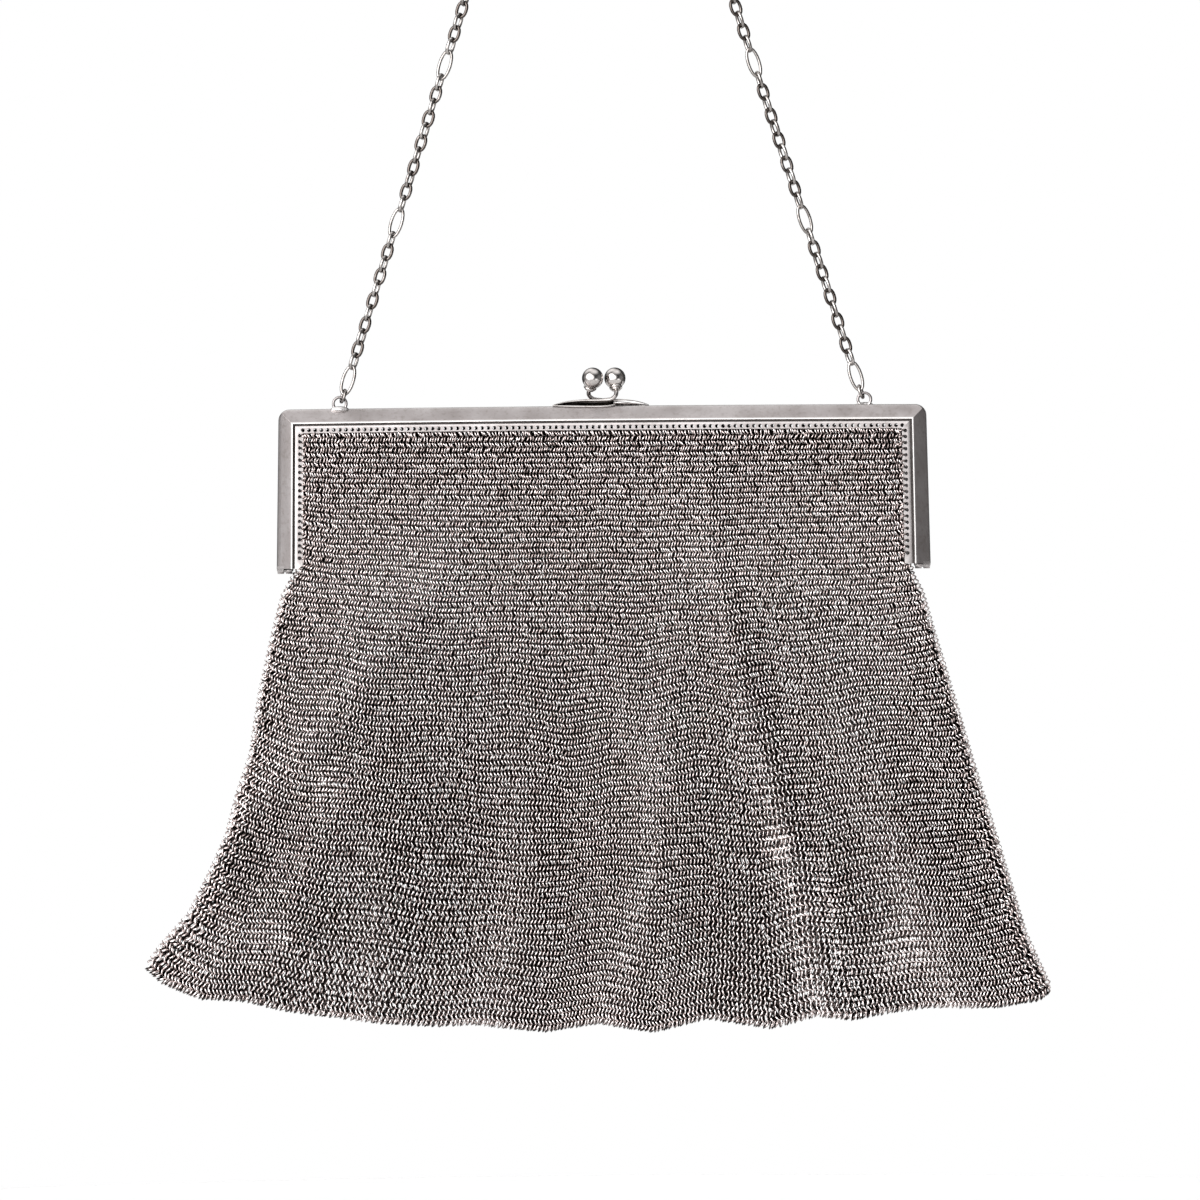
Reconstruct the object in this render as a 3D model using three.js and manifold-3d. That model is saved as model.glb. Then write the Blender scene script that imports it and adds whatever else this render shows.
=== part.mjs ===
// A metal mesh evening purse with a hinged square frame, a kiss clasp of two balls and a chain handle.
// Millimetres. +Z is up, +X is to the right as the front is seen, and the front faces -Y.
// The origin is the underside of the middle link of the chain, where a hook or a finger carries the purse.

import * as THREE from "three";
import { mergeVertices } from "three/addons/utils/BufferGeometryUtils.js";
import Module from "manifold-3d";

const wasm = await Module();
wasm.setup();

// Clearances
const PIECE_GAP = 0.3;
const SEAT_GAP = 0.05;
const SOLDER_BITE = 0.12;

// Frame: two U-shaped halves of folded sheet, closed against each other on the plane y = 0
const FRAME_WIDTH = 150;
const LEG_LENGTH = 37.6;
const LEG_SPLAY = 1.2;
const CORNER_RADIUS = 2.6;
const SHEET = 0.8;
const RIM_DEPTH = 1.9;
const BAND_WIDTH = 3.6;
const BAND_DEPTH = 4.8;
const FLANGE_STEP = 0.7;
const FLANGE_WIDTH = 2.1;
const CORNER_STEPS = 4;

// Hinges at the ends of the legs
const KNUCKLE_RADIUS = 1.3;
const KNUCKLE_LENGTH = 1.5;
const PIN_RADIUS = 0.5;
const PIN_SIDES = 12;

// Clasp: a leaf-shaped foot, a bent arm, a collar and a ball on each half
const BALL_RADIUS = 2.36;
const BALL_SPACING = 5.35;
const BALL_LEAN = 1.0;
const BALL_HEIGHT = 6.5;
const LEAF_LENGTH = 14.4;
const LEAF_WIDTH = 1.7;
const LEAF_THICKNESS = 0.75;
const ARM_RADIUS = 0.42;
const COLLAR_RADIUS = 1.45;
const COLLAR_HEIGHT = 0.9;

// Chain: equal stretches of one long link and a run of small ones
const SMALL_LINK = { innerLength: 2.82, outerWidth: 3.05, wire: 0.7 };
const LONG_LINK = { innerLength: 6.2, outerWidth: 2.8, wire: 0.62 };
const LINK_CORNER = 0.3;
const SMALL_LINKS_IN_STRETCH = 11;
const STRETCHES_EACH_SIDE = 5;
const EAR_SPACING = 122.7;
const EAR_OUTER_RADIUS = 1.95;
const EAR_WIRE = 0.66;

// Mesh bag
const BAG_DROP = 140.2;
const FLARE_LEFT = 35.2;
const FLARE_RIGHT = 33.1;
const MESH_WALL = 1.3;
const BELLY = 5.6;
const HEM_HALF_DEPTH = 1.1;
const SIDE_HALF_DEPTH = 1.1;
const FOLD_DEPTH = 3.4;
const HINGE_ROOM = 0.9;
const BAG_COLUMNS = 26;

// Side outlines of the bag below the hinges: share of the way down, and share of each flare
const SIDE_OUTLINE = [
  { down: 0.0, left: 0.0, right: 0.0 },
  { down: 0.02, left: 0.025, right: 0.03 },
  { down: 0.06, left: 0.08, right: 0.11 },
  { down: 0.16, left: 0.15, right: 0.2 },
  { down: 0.31, left: 0.25, right: 0.33 },
  { down: 0.46, left: 0.32, right: 0.46 },
  { down: 0.56, left: 0.38, right: 0.56 },
  { down: 0.66, left: 0.46, right: 0.65 },
  { down: 0.76, left: 0.58, right: 0.73 },
  { down: 0.86, left: 0.74, right: 0.82 },
  { down: 0.94, left: 0.9, right: 0.92 },
  { down: 1.0, left: 1.0, right: 1.0 },
];

// Lower edge of the bag: share of the way across, and share of the full drop
const HEM_OUTLINE = [
  { across: 0.0, drop: 0.898 },
  { across: 0.02, drop: 0.928 },
  { across: 0.06, drop: 0.945 },
  { across: 0.11, drop: 0.955 },
  { across: 0.15, drop: 0.972 },
  { across: 0.26, drop: 0.987 },
  { across: 0.32, drop: 0.997 },
  { across: 0.36, drop: 0.993 },
  { across: 0.44, drop: 1.0 },
  { across: 0.5, drop: 0.992 },
  { across: 0.56, drop: 1.0 },
  { across: 0.62, drop: 0.982 },
  { across: 0.69, drop: 0.997 },
  { across: 0.74, drop: 0.968 },
  { across: 0.78, drop: 0.976 },
  { across: 0.86, drop: 0.965 },
  { across: 0.94, drop: 0.965 },
  { across: 0.985, drop: 0.955 },
  { across: 1.0, drop: 0.938 },
];

// Hanging folds, as shares: place across at the frame and at the hem, half-width across,
// how far down each starts, and depth towards the front
const FOLDS = [
  { top: 0.03, hem: 0.11, width: 0.05, start: 0.3, forward: 0.7 },
  { top: 0.2, hem: 0.275, width: 0.045, start: 0.0, forward: -0.9 },
  { top: 0.28, hem: 0.355, width: 0.045, start: 0.15, forward: 0.8 },
  { top: 0.39, hem: 0.45, width: 0.035, start: 0.2, forward: -1.0 },
  { top: 0.48, hem: 0.525, width: 0.04, start: 0.4, forward: 0.8 },
  { top: 0.56, hem: 0.58, width: 0.03, start: 0.5, forward: -0.7 },
  { top: 0.62, hem: 0.645, width: 0.035, start: 0.3, forward: 0.7 },
  { top: 0.665, hem: 0.715, width: 0.035, start: 0.0, forward: -0.9 },
  { top: 0.785, hem: 0.83, width: 0.05, start: 0.1, forward: 0.9 },
];

// Heights of the bag's sections below the hinges, as shares of the way down
const BAG_SECTIONS = [0.0, 0.02, 0.06, 0.16, 0.3, 0.44, 0.58, 0.7, 0.8, 0.88, 0.94, 1.0];

const silver = {
  frame: new THREE.MeshStandardMaterial({ color: 0xa9a29f, roughness: 0.38, metalness: 1 }),
  clasp: new THREE.MeshStandardMaterial({ color: 0xc4bfbc, roughness: 0.14, metalness: 1 }),
  chain: new THREE.MeshStandardMaterial({ color: 0xa39c98, roughness: 0.3, metalness: 1 }),
  mesh: new THREE.MeshStandardMaterial({ color: 0x8a827f, roughness: 0.34, metalness: 1 }),
};

// Helpers between three.js geometry and solids that can be joined and cut
function solidOf(geometry) {
  const bare = geometry.index ? geometry.toNonIndexed() : geometry.clone();
  bare.deleteAttribute("normal");
  bare.deleteAttribute("uv");
  const merged = mergeVertices(bare, 1e-4);
  return new wasm.Manifold(
    new wasm.Mesh({
      numProp: 3,
      vertProperties: merged.attributes.position.array,
      triVerts: new Uint32Array(merged.index.array),
    }),
  );
}

function geometryOf(solid) {
  const mesh = solid.getMesh();
  const positions = new Float32Array(mesh.numVert * 3);
  for (let i = 0; i < mesh.numVert; i++) {
    positions.set(mesh.vertProperties.subarray(i * mesh.numProp, i * mesh.numProp + 3), i * 3);
  }
  const geometry = new THREE.BufferGeometry();
  geometry.setAttribute("position", new THREE.BufferAttribute(positions, 3));
  geometry.setIndex(new THREE.BufferAttribute(mesh.triVerts, 1));
  geometry.computeVertexNormals();
  return geometry;
}

function joined(geometries) {
  return geometries.map(solidOf).reduce((all, next) => all.add(next));
}

function named(name, geometry, material) {
  const mesh = new THREE.Mesh(geometry, material);
  mesh.name = name;
  return mesh;
}

// A closed solid through sections of equal point count, with both ends capped
function loft(sections) {
  const count = sections[0].length;
  const positions = [];
  const triangle = (a, b, c) => positions.push(...a.toArray(), ...b.toArray(), ...c.toArray());
  for (let s = 0; s + 1 < sections.length; s++) {
    for (let i = 0; i < count; i++) {
      const next = (i + 1) % count;
      triangle(sections[s][i], sections[s][next], sections[s + 1][next]);
      triangle(sections[s][i], sections[s + 1][next], sections[s + 1][i]);
    }
  }
  const cap = (section, flip) => {
    const plane = flatCopy(section);
    for (const [a, b, c] of THREE.ShapeUtils.triangulateShape(plane, [])) {
      if (flip) triangle(section[a], section[c], section[b]);
      else triangle(section[a], section[b], section[c]);
    }
  };
  cap(sections[0], true);
  cap(sections.at(-1), false);
  const geometry = new THREE.BufferGeometry();
  geometry.setAttribute("position", new THREE.Float32BufferAttribute(positions, 3));
  return facingOut(geometry);
}

// The section's own plane as 2D points, measured from the section's longest span
function flatCopy(section) {
  const normal = new THREE.Vector3();
  section.forEach((point, i) => {
    const next = section[(i + 1) % section.length];
    normal.add(new THREE.Vector3().crossVectors(point, next));
  });
  normal.normalize();
  const across = new THREE.Vector3().subVectors(section[1], section[0]).normalize();
  const up = new THREE.Vector3().crossVectors(normal, across);
  return section.map((point) => new THREE.Vector2(point.dot(across), point.dot(up)));
}

function facingOut(geometry) {
  const p = geometry.attributes.position.array;
  let volume = 0;
  for (let i = 0; i < p.length; i += 9) {
    volume +=
      p[i] * (p[i + 4] * p[i + 8] - p[i + 5] * p[i + 7]) +
      p[i + 1] * (p[i + 5] * p[i + 6] - p[i + 3] * p[i + 8]) +
      p[i + 2] * (p[i + 3] * p[i + 7] - p[i + 4] * p[i + 6]);
  }
  if (volume > 0) return geometry;
  for (let i = 0; i < p.length; i += 9) {
    for (let k = 0; k < 3; k++) {
      [p[i + 3 + k], p[i + 6 + k]] = [p[i + 6 + k], p[i + 3 + k]];
    }
  }
  return geometry;
}

// Chain lengths, and the height at which the frame hangs below the origin
const STRETCH_RUN = LONG_LINK.innerLength + SMALL_LINKS_IN_STRETCH * (SMALL_LINK.innerLength + SOLDER_BITE);
const JUMP_RUN = SMALL_LINK.innerLength - 2 * PIECE_GAP;
const SIDE_RUN = JUMP_RUN + STRETCHES_EACH_SIDE * (STRETCH_RUN - PIECE_GAP) + PIECE_GAP;
const TOP_HOOK_X = LONG_LINK.innerLength / 2 - SMALL_LINK.wire - PIECE_GAP;
const TOP_HOOK_Z = LONG_LINK.wire + PIECE_GAP;
const CHAIN_SPAN = EAR_SPACING / 2 - TOP_HOOK_X;
const CHAIN_DROP = Math.sqrt(SIDE_RUN ** 2 - CHAIN_SPAN ** 2);
const EAR_HOLE_TOP = EAR_OUTER_RADIUS - EAR_WIRE;
const EAR_CENTRE_Z = TOP_HOOK_Z - CHAIN_DROP - EAR_HOLE_TOP;
const FRAME_TOP = EAR_CENTRE_Z - EAR_OUTER_RADIUS + EAR_WIRE / 2;

// A point of one frame half, by its corner or leg end, its inset from the outer edge and its depth
const LEG_ANGLE = Math.atan2(LEG_SPLAY, LEG_LENGTH);

function legX(inset, z) {
  return FRAME_WIDTH / 2 + (FRAME_TOP - z) * Math.tan(LEG_ANGLE) - inset / Math.cos(LEG_ANGLE);
}

function framePath(inset) {
  const radius = Math.max(CORNER_RADIUS - inset, SEAT_GAP);
  const centreZ = FRAME_TOP - inset - radius;
  const centreX = legX(inset + radius, centreZ);
  const right = [{ x: legX(inset, FRAME_TOP - LEG_LENGTH), z: FRAME_TOP - LEG_LENGTH }];
  for (let i = 0; i <= CORNER_STEPS; i++) {
    const angle = LEG_ANGLE + (i / CORNER_STEPS) * (Math.PI / 2 - LEG_ANGLE);
    right.push({ x: centreX + radius * Math.cos(angle), z: centreZ + radius * Math.sin(angle) });
  }
  const left = right.map((point) => ({ x: -point.x, z: point.z })).reverse();
  return [...right, ...left];
}

// The folded sheet in section: inset from the outer edge, and depth from the closing plane
function frameProfile() {
  const face = PIECE_GAP / 2;
  const flangeBack = BAND_DEPTH - FLANGE_STEP - SHEET;
  const bevelInset = BAND_WIDTH - 0.5;
  return [
    { inset: 0, depth: face },
    { inset: 0, depth: RIM_DEPTH },
    { inset: bevelInset, depth: BAND_DEPTH - 0.15 },
    { inset: bevelInset + 0.2, depth: BAND_DEPTH },
    { inset: BAND_WIDTH, depth: BAND_DEPTH },
    { inset: BAND_WIDTH, depth: BAND_DEPTH - FLANGE_STEP },
    { inset: BAND_WIDTH + FLANGE_WIDTH, depth: BAND_DEPTH - FLANGE_STEP },
    { inset: BAND_WIDTH + FLANGE_WIDTH, depth: flangeBack },
    { inset: BAND_WIDTH - SHEET, depth: flangeBack },
    { inset: SHEET, depth: RIM_DEPTH - SHEET / 2 },
    { inset: SHEET, depth: face },
  ];
}

function frameChannel(side) {
  const profile = frameProfile();
  const paths = profile.map((point) => framePath(point.inset));
  const sections = paths[0].map((_, station) =>
    profile.map((point, i) => {
      const place = paths[i][station];
      return new THREE.Vector3(place.x, side * point.depth, place.z);
    }),
  );
  return loft(sections);
}

function boxAt(x0, x1, y0, y1, z0, z1) {
  const box = new THREE.BoxGeometry(Math.abs(x1 - x0), Math.abs(y1 - y0), Math.abs(z1 - z0));
  return box.translate((x0 + x1) / 2, (y0 + y1) / 2, (z0 + z1) / 2);
}

function rodAlongX(radius, x0, x1, z) {
  const rod = new THREE.CylinderGeometry(radius, radius, Math.abs(x1 - x0), PIN_SIDES);
  rod.rotateZ(Math.PI / 2);
  return rod.translate((x0 + x1) / 2, 0, z);
}

// Hinge places along X, from the outer edge of a leg inwards; the front half holds the outer knuckle
const LEG_END = FRAME_TOP - LEG_LENGTH;
const HINGE_Z = LEG_END - 0.2;
const HINGE_OUTER_X = legX(0, LEG_END);
const KNUCKLES = {
  outer: { from: 0, to: KNUCKLE_LENGTH },
  inner: { from: KNUCKLE_LENGTH + PIECE_GAP, to: 2 * KNUCKLE_LENGTH + PIECE_GAP },
};

function knuckle(end, place, side) {
  const x0 = end * (HINGE_OUTER_X - place.from);
  const x1 = end * (HINGE_OUTER_X - place.to);
  const reach = BAND_DEPTH - SHEET;
  const tab = boxAt(x0, x1, side * KNUCKLE_RADIUS / 2, side * reach, LEG_END + SHEET, LEG_END - SHEET / 2);
  return { barrel: rodAlongX(KNUCKLE_RADIUS, x0, x1, HINGE_Z), tab, x0, x1 };
}

function knuckleRoom(end, place, side) {
  const x0 = end * (HINGE_OUTER_X - place.from + PIECE_GAP);
  const x1 = end * (HINGE_OUTER_X - place.to - PIECE_GAP);
  const high = HINGE_Z + KNUCKLE_RADIUS + PIECE_GAP;
  return boxAt(x0, x1, -side * PIECE_GAP, side * (KNUCKLE_RADIUS + PIECE_GAP), LEG_END - SHEET, high);
}

// The little ring soldered on top of a frame half, with its pad of solder
function chainEar(x, side) {
  const ring = new THREE.TorusGeometry(EAR_OUTER_RADIUS - EAR_WIRE / 2, EAR_WIRE / 2, 6, 14);
  ring.rotateX(Math.PI / 2);
  ring.translate(x, side * RIM_DEPTH / 2, EAR_CENTRE_Z);
  const pad = new THREE.CylinderGeometry(EAR_WIRE, RIM_DEPTH / 2 - SEAT_GAP, EAR_WIRE, 10);
  pad.rotateX(Math.PI / 2);
  pad.translate(x, side * (RIM_DEPTH / 2 + SEAT_GAP), FRAME_TOP + EAR_WIRE / 2 - SOLDER_BITE);
  return [ring, pad];
}

function frameHalf(name, side, own, other, earX) {
  let half = solidOf(frameChannel(side));
  for (const end of [-1, 1]) {
    half = half.subtract(solidOf(knuckleRoom(end, other, side)));
    const made = knuckle(end, own, side);
    half = half.add(solidOf(made.barrel)).add(solidOf(made.tab));
    half = half.subtract(solidOf(rodAlongX(PIN_RADIUS + PIECE_GAP, made.x0 + end, made.x1 - end, HINGE_Z)));
  }
  half = half.add(joined(chainEar(earX, side)));
  return named(name, geometryOf(half), silver.frame);
}

function hingePin(name, end) {
  const x0 = end * HINGE_OUTER_X;
  const x1 = end * (HINGE_OUTER_X - KNUCKLES.inner.to);
  return named(name, rodAlongX(PIN_RADIUS, x0, x1, HINGE_Z), silver.frame);
}

// One arm of the clasp; `turn` is 1 for the front arm, whose ball stands to the right, and -1 for the back
function claspArm(name, turn) {
  const side = -turn;
  const y = side * (RIM_DEPTH + PIECE_GAP) / 2;
  const ballX = turn * BALL_SPACING / 2;
  const tipX = ballX - turn * LEAF_LENGTH;
  const footZ = FRAME_TOP + SEAT_GAP;
  const leaf = new THREE.Shape();
  leaf.moveTo(tipX, 0);
  leaf.quadraticCurveTo((tipX + ballX) / 2, LEAF_WIDTH, ballX, LEAF_WIDTH / 3);
  leaf.lineTo(ballX, -LEAF_WIDTH / 3);
  leaf.quadraticCurveTo((tipX + ballX) / 2, -LEAF_WIDTH, tipX, 0);
  const foot = new THREE.ExtrudeGeometry(leaf, {
    depth: LEAF_THICKNESS,
    bevelEnabled: false,
    curveSegments: 6,
  });
  foot.translate(0, y, footZ);
  const ball = new THREE.Vector3(ballX, -side * BALL_LEAN, FRAME_TOP + BALL_HEIGHT);
  const bend = new THREE.CatmullRomCurve3([
    new THREE.Vector3(ballX - turn * 5, y, footZ + LEAF_THICKNESS),
    new THREE.Vector3(ballX - turn * 2.2, y, footZ + LEAF_THICKNESS + 0.1),
    new THREE.Vector3(ballX - turn * 0.5, y * 0.8, footZ + LEAF_THICKNESS + 0.8),
    new THREE.Vector3(ballX, y * 0.3, footZ + LEAF_THICKNESS + 2.2),
    ball,
  ]);
  const round = new THREE.Shape();
  round.absarc(0, 0, ARM_RADIUS, 0, 2 * Math.PI);
  const arm = new THREE.ExtrudeGeometry(round, { steps: 12, curveSegments: 4, extrudePath: bend });
  const collar = new THREE.CylinderGeometry(COLLAR_RADIUS, COLLAR_RADIUS * 0.8, COLLAR_HEIGHT, 14);
  const stem = new THREE.Vector3().subVectors(ball, bend.getPointAt(0.75)).normalize();
  collar.applyQuaternion(new THREE.Quaternion().setFromUnitVectors(new THREE.Vector3(0, 1, 0), stem));
  const seat = ball.clone().addScaledVector(stem, -BALL_RADIUS);
  collar.translate(seat.x, seat.y, seat.z);
  const sphere = new THREE.SphereGeometry(BALL_RADIUS, 16, 10).translate(ball.x, ball.y, ball.z);
  return named(name, geometryOf(joined([foot, arm, collar, sphere])), silver.clasp);
}

// The outline of a link or of its opening: a long rectangle with cut corners
function linkOutline(path, width, length) {
  const corner = width * LINK_CORNER;
  const right = [
    new THREE.Vector2(width / 2 - corner, -length / 2),
    new THREE.Vector2(width / 2, corner - length / 2),
    new THREE.Vector2(width / 2, length / 2 - corner),
    new THREE.Vector2(width / 2 - corner, length / 2),
  ];
  const left = right.map((point) => point.clone().negate());
  return path.setFromPoints([...right, ...left, right[0]]);
}

// A link in the plane of X and Z with its length along Z; its opening starts at the origin
function chainLink(size) {
  const shape = linkOutline(new THREE.Shape(), size.outerWidth, size.innerLength + 2 * size.wire);
  shape.holes.push(linkOutline(new THREE.Path(), size.outerWidth - 2 * size.wire, size.innerLength));
  const link = new THREE.ExtrudeGeometry(shape, { depth: size.wire, bevelEnabled: false });
  link.translate(0, 0, -size.wire / 2);
  link.rotateX(Math.PI / 2);
  return link.translate(0, 0, size.innerLength / 2);
}

// Places a link on one side's straight run, by its start along the run and its quarter turn
function placedLink(size, end, start, edgeOn) {
  const link = chainLink(size);
  if (edgeOn) link.rotateZ(Math.PI / 2);
  const earDepth = end * RIM_DEPTH / 2;
  const foot = new THREE.Vector3(end * EAR_SPACING / 2, earDepth, EAR_CENTRE_Z + EAR_HOLE_TOP);
  const run = new THREE.Vector3(end * TOP_HOOK_X, 0, TOP_HOOK_Z).sub(foot).normalize();
  link.applyQuaternion(new THREE.Quaternion().setFromUnitVectors(new THREE.Vector3(0, 0, 1), run));
  foot.addScaledVector(run, start);
  return link.translate(foot.x, foot.y, foot.z);
}

function chainStretch(end, index) {
  const links = [];
  let start = JUMP_RUN + index * (STRETCH_RUN - PIECE_GAP);
  links.push(placedLink(LONG_LINK, end, start, false));
  start += LONG_LINK.innerLength + SOLDER_BITE;
  for (let i = 0; i < SMALL_LINKS_IN_STRETCH; i++) {
    links.push(placedLink(SMALL_LINK, end, start, i % 2 === 0));
    start += SMALL_LINK.innerLength + SOLDER_BITE;
  }
  return geometryOf(joined(links));
}

function addChain(purse) {
  for (const [word, end] of [["left", -1], ["right", 1]]) {
    purse.add(named(`chain_jump_${word}`, placedLink(SMALL_LINK, end, -PIECE_GAP, true), silver.chain));
    for (let i = 0; i < STRETCHES_EACH_SIDE; i++) {
      purse.add(named(`chain_${word}_${i + 1}`, chainStretch(end, i), silver.chain));
    }
  }
  const top = chainLink(LONG_LINK).translate(0, 0, -LONG_LINK.innerLength / 2);
  top.rotateY(Math.PI / 2);
  top.translate(0, 0, LONG_LINK.outerWidth / 2);
  purse.add(named("chain_top_link", top, silver.chain));
}

// Value of a named column at a share along a table, eased between its rows
function read(table, key, share, column) {
  const last = table.length - 1;
  let i = 0;
  while (i < last - 1 && share > table[i + 1][key]) i++;
  const span = table[i + 1][key] - table[i][key];
  const t = THREE.MathUtils.clamp((share - table[i][key]) / span, 0, 1);
  return THREE.MathUtils.lerp(table[i][column], table[i + 1][column], t);
}

// Bag edges: beside the legs they follow the flange, and below the hinges they flare
const BAG_TOP = FRAME_TOP - BAND_WIDTH - FLANGE_WIDTH - PIECE_GAP;
const LEG_FOOT_Z = LEG_END - PIECE_GAP;
const FLARE_TOP_Z = LEG_FOOT_Z - SHEET;
const HALF_AT_HINGE = legX(2 * KNUCKLE_LENGTH + PIECE_GAP, LEG_END) - HINGE_ROOM;
const FLANGE_INSET = BAND_WIDTH + FLANGE_WIDTH + PIECE_GAP;

function foldAt(across, down) {
  return FOLDS.reduce((sum, fold) => {
    const grown = THREE.MathUtils.smoothstep(down, fold.start, 1);
    const middle = THREE.MathUtils.lerp(fold.top, fold.hem, down);
    const near = Math.exp(-(((across - middle) / fold.width) ** 2));
    return sum - fold.forward * FOLD_DEPTH * grown * near;
  }, 0);
}

// Half the bag's depth: level with the flanges at the top, full in the belly, thin at sides and hem
function halfDepth(across, down) {
  const flange = BAND_DEPTH - FLANGE_STEP / 2 - SHEET / 2 + MESH_WALL / 2;
  const body = THREE.MathUtils.lerp(flange, BELLY, Math.sin(Math.PI * Math.min(down, 0.9)));
  const hem = THREE.MathUtils.lerp(body, HEM_HALF_DEPTH, THREE.MathUtils.smoothstep(down, 0.8, 1));
  const edge = Math.min(across, 1 - across);
  const roundness = Math.sqrt(THREE.MathUtils.clamp(edge / 0.16, 0, 1));
  const closing = THREE.MathUtils.smoothstep(down, 0, 0.1);
  const side = THREE.MathUtils.lerp(SIDE_HALF_DEPTH, hem, roundness);
  return THREE.MathUtils.lerp(hem, Math.min(side, hem), closing);
}

// One level of the bag, as a closed loop that runs over the front and back again
function bagLoop(level, thinner) {
  const front = [];
  const back = [];
  for (let i = 0; i <= BAG_COLUMNS; i++) {
    const across = i / BAG_COLUMNS;
    const { x, z, down } = level(across);
    const middle = foldAt(across, down);
    const depth = Math.max(halfDepth(across, down) - thinner, SIDE_HALF_DEPTH / 5);
    front.push(new THREE.Vector3(x, middle - depth, z));
    back.push(new THREE.Vector3(x, middle + depth, z));
  }
  return [...front, ...back.reverse()];
}

function levelBesideLegs(z, narrower) {
  return (across) => {
    const half = legX(FLANGE_INSET, z) - narrower;
    return { x: THREE.MathUtils.lerp(-half, half, across), z, down: 0 };
  };
}

function levelBelowHinges(down, narrower) {
  return (across) => {
    const left = -HALF_AT_HINGE - FLARE_LEFT * read(SIDE_OUTLINE, "down", down, "left") + narrower;
    const right = HALF_AT_HINGE + FLARE_RIGHT * read(SIDE_OUTLINE, "down", down, "right") - narrower;
    const hem = BAG_TOP - BAG_DROP * read(HEM_OUTLINE, "across", across, "drop");
    const z = THREE.MathUtils.lerp(FLARE_TOP_Z, hem, down);
    return { x: THREE.MathUtils.lerp(left, right, across), z, down };
  };
}

function bagSkin(top, thinner, narrower, lowest) {
  const loops = [bagLoop(levelBesideLegs(top, narrower), thinner)];
  loops.push(bagLoop(levelBesideLegs(LEG_FOOT_Z, narrower), thinner));
  for (const share of BAG_SECTIONS) {
    loops.push(bagLoop(levelBelowHinges(Math.min(share, lowest), narrower), thinner));
    if (share >= lowest) break;
  }
  return solidOf(loft(loops));
}

function meshBag() {
  const hollowTo = BAG_SECTIONS.at(-2);
  const outer = bagSkin(BAG_TOP, 0, 0, 1);
  const inner = bagSkin(BAG_TOP + 1, MESH_WALL, MESH_WALL, hollowTo);
  const half = legX(FLANGE_INSET, LEG_END);
  const open = halfDepth(0, 0) - MESH_WALL;
  let bag = outer.subtract(inner);
  for (const end of [-1, 1]) {
    const slot = boxAt(end * (half - 3 * MESH_WALL), end * (half + 1), -open, open, LEG_END, BAG_TOP + 1);
    bag = bag.subtract(solidOf(slot));
  }
  return named("mesh_bag", geometryOf(bag), silver.mesh);
}

const purse = new THREE.Group();
purse.add(frameHalf("frame_front", -1, KNUCKLES.outer, KNUCKLES.inner, -EAR_SPACING / 2));
purse.add(frameHalf("frame_back", 1, KNUCKLES.inner, KNUCKLES.outer, EAR_SPACING / 2));
purse.add(hingePin("hinge_pin_left", -1));
purse.add(hingePin("hinge_pin_right", 1));
purse.add(claspArm("clasp_front", 1));
purse.add(claspArm("clasp_back", -1));
purse.add(meshBag());
addChain(purse);

export default purse;
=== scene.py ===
"""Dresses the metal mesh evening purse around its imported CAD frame.

The purse hangs by the middle link of its chain, which is the origin. +Z is up, +X is to the
right as the front is seen, and the front faces -Y. Sizes in the classes are millimetres, and
meshes are made in metres.
"""

import logging
import math
from dataclasses import dataclass, field
from enum import Enum
from typing import Any, Iterable, NamedTuple, Sequence

import bmesh
import bpy
import numpy as np
from mathutils import Matrix, Vector


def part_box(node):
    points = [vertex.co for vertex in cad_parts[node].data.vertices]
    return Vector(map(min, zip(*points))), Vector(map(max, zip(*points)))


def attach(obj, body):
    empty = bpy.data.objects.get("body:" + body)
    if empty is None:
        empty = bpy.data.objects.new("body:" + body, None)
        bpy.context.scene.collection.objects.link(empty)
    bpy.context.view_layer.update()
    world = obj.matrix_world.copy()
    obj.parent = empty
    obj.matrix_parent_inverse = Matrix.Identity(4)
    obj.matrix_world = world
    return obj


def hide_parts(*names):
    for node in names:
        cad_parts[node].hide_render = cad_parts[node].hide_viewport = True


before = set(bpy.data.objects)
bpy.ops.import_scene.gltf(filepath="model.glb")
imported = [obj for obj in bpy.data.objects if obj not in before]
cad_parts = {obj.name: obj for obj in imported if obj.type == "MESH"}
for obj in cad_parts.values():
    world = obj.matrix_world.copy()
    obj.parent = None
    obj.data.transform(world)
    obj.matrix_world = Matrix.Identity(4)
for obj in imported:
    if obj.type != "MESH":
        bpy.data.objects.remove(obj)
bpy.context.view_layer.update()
LOG = logging.getLogger("purse")
MM = 0.001
ROOT = "root"
Colour = tuple[float, float, float, float]


class Wall(Enum):
    """The two sides of the purse, by the sign of their depth."""

    FRONT = -1
    BACK = 1


class End(Enum):
    """The two ends of the frame, by the sign of their X."""

    LEFT = -1
    RIGHT = 1

    @property
    def word(self) -> str:
        """The end's name in lower case."""
        return self.name.lower()


# Modelling helpers


def only(*objects: bpy.types.Object) -> None:
    """Selects these objects alone and makes the first one active.

    Args:
        *objects: The objects to select.
    """
    bpy.ops.object.select_all(action="DESELECT")
    for obj in objects:
        obj.select_set(True)
    bpy.context.view_layer.objects.active = objects[0]


def settle(obj: bpy.types.Object, name: str) -> bpy.types.Object:
    """Names a piece and puts its place into its mesh.

    Args:
        obj: The piece, wherever its object stands.
        name: The piece's plain name.

    Returns:
        The same piece with its object at the origin.
    """
    only(obj)
    bpy.ops.object.transform_apply(location=True, rotation=True, scale=True)
    obj.name = name
    obj.data.name = name
    return obj


def with_modifier(obj: bpy.types.Object, kind: str, **settings: Any) -> bpy.types.Object:
    """Adds a modifier and applies it.

    Args:
        obj: The piece.
        kind: The modifier's type.
        **settings: The modifier's own settings.

    Returns:
        The piece with the modifier applied.
    """
    only(obj)
    made = obj.modifiers.new(kind.title(), kind)
    for key, value in settings.items():
        setattr(made, key, value)
    bpy.ops.object.modifier_apply(modifier=made.name)
    return obj


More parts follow.
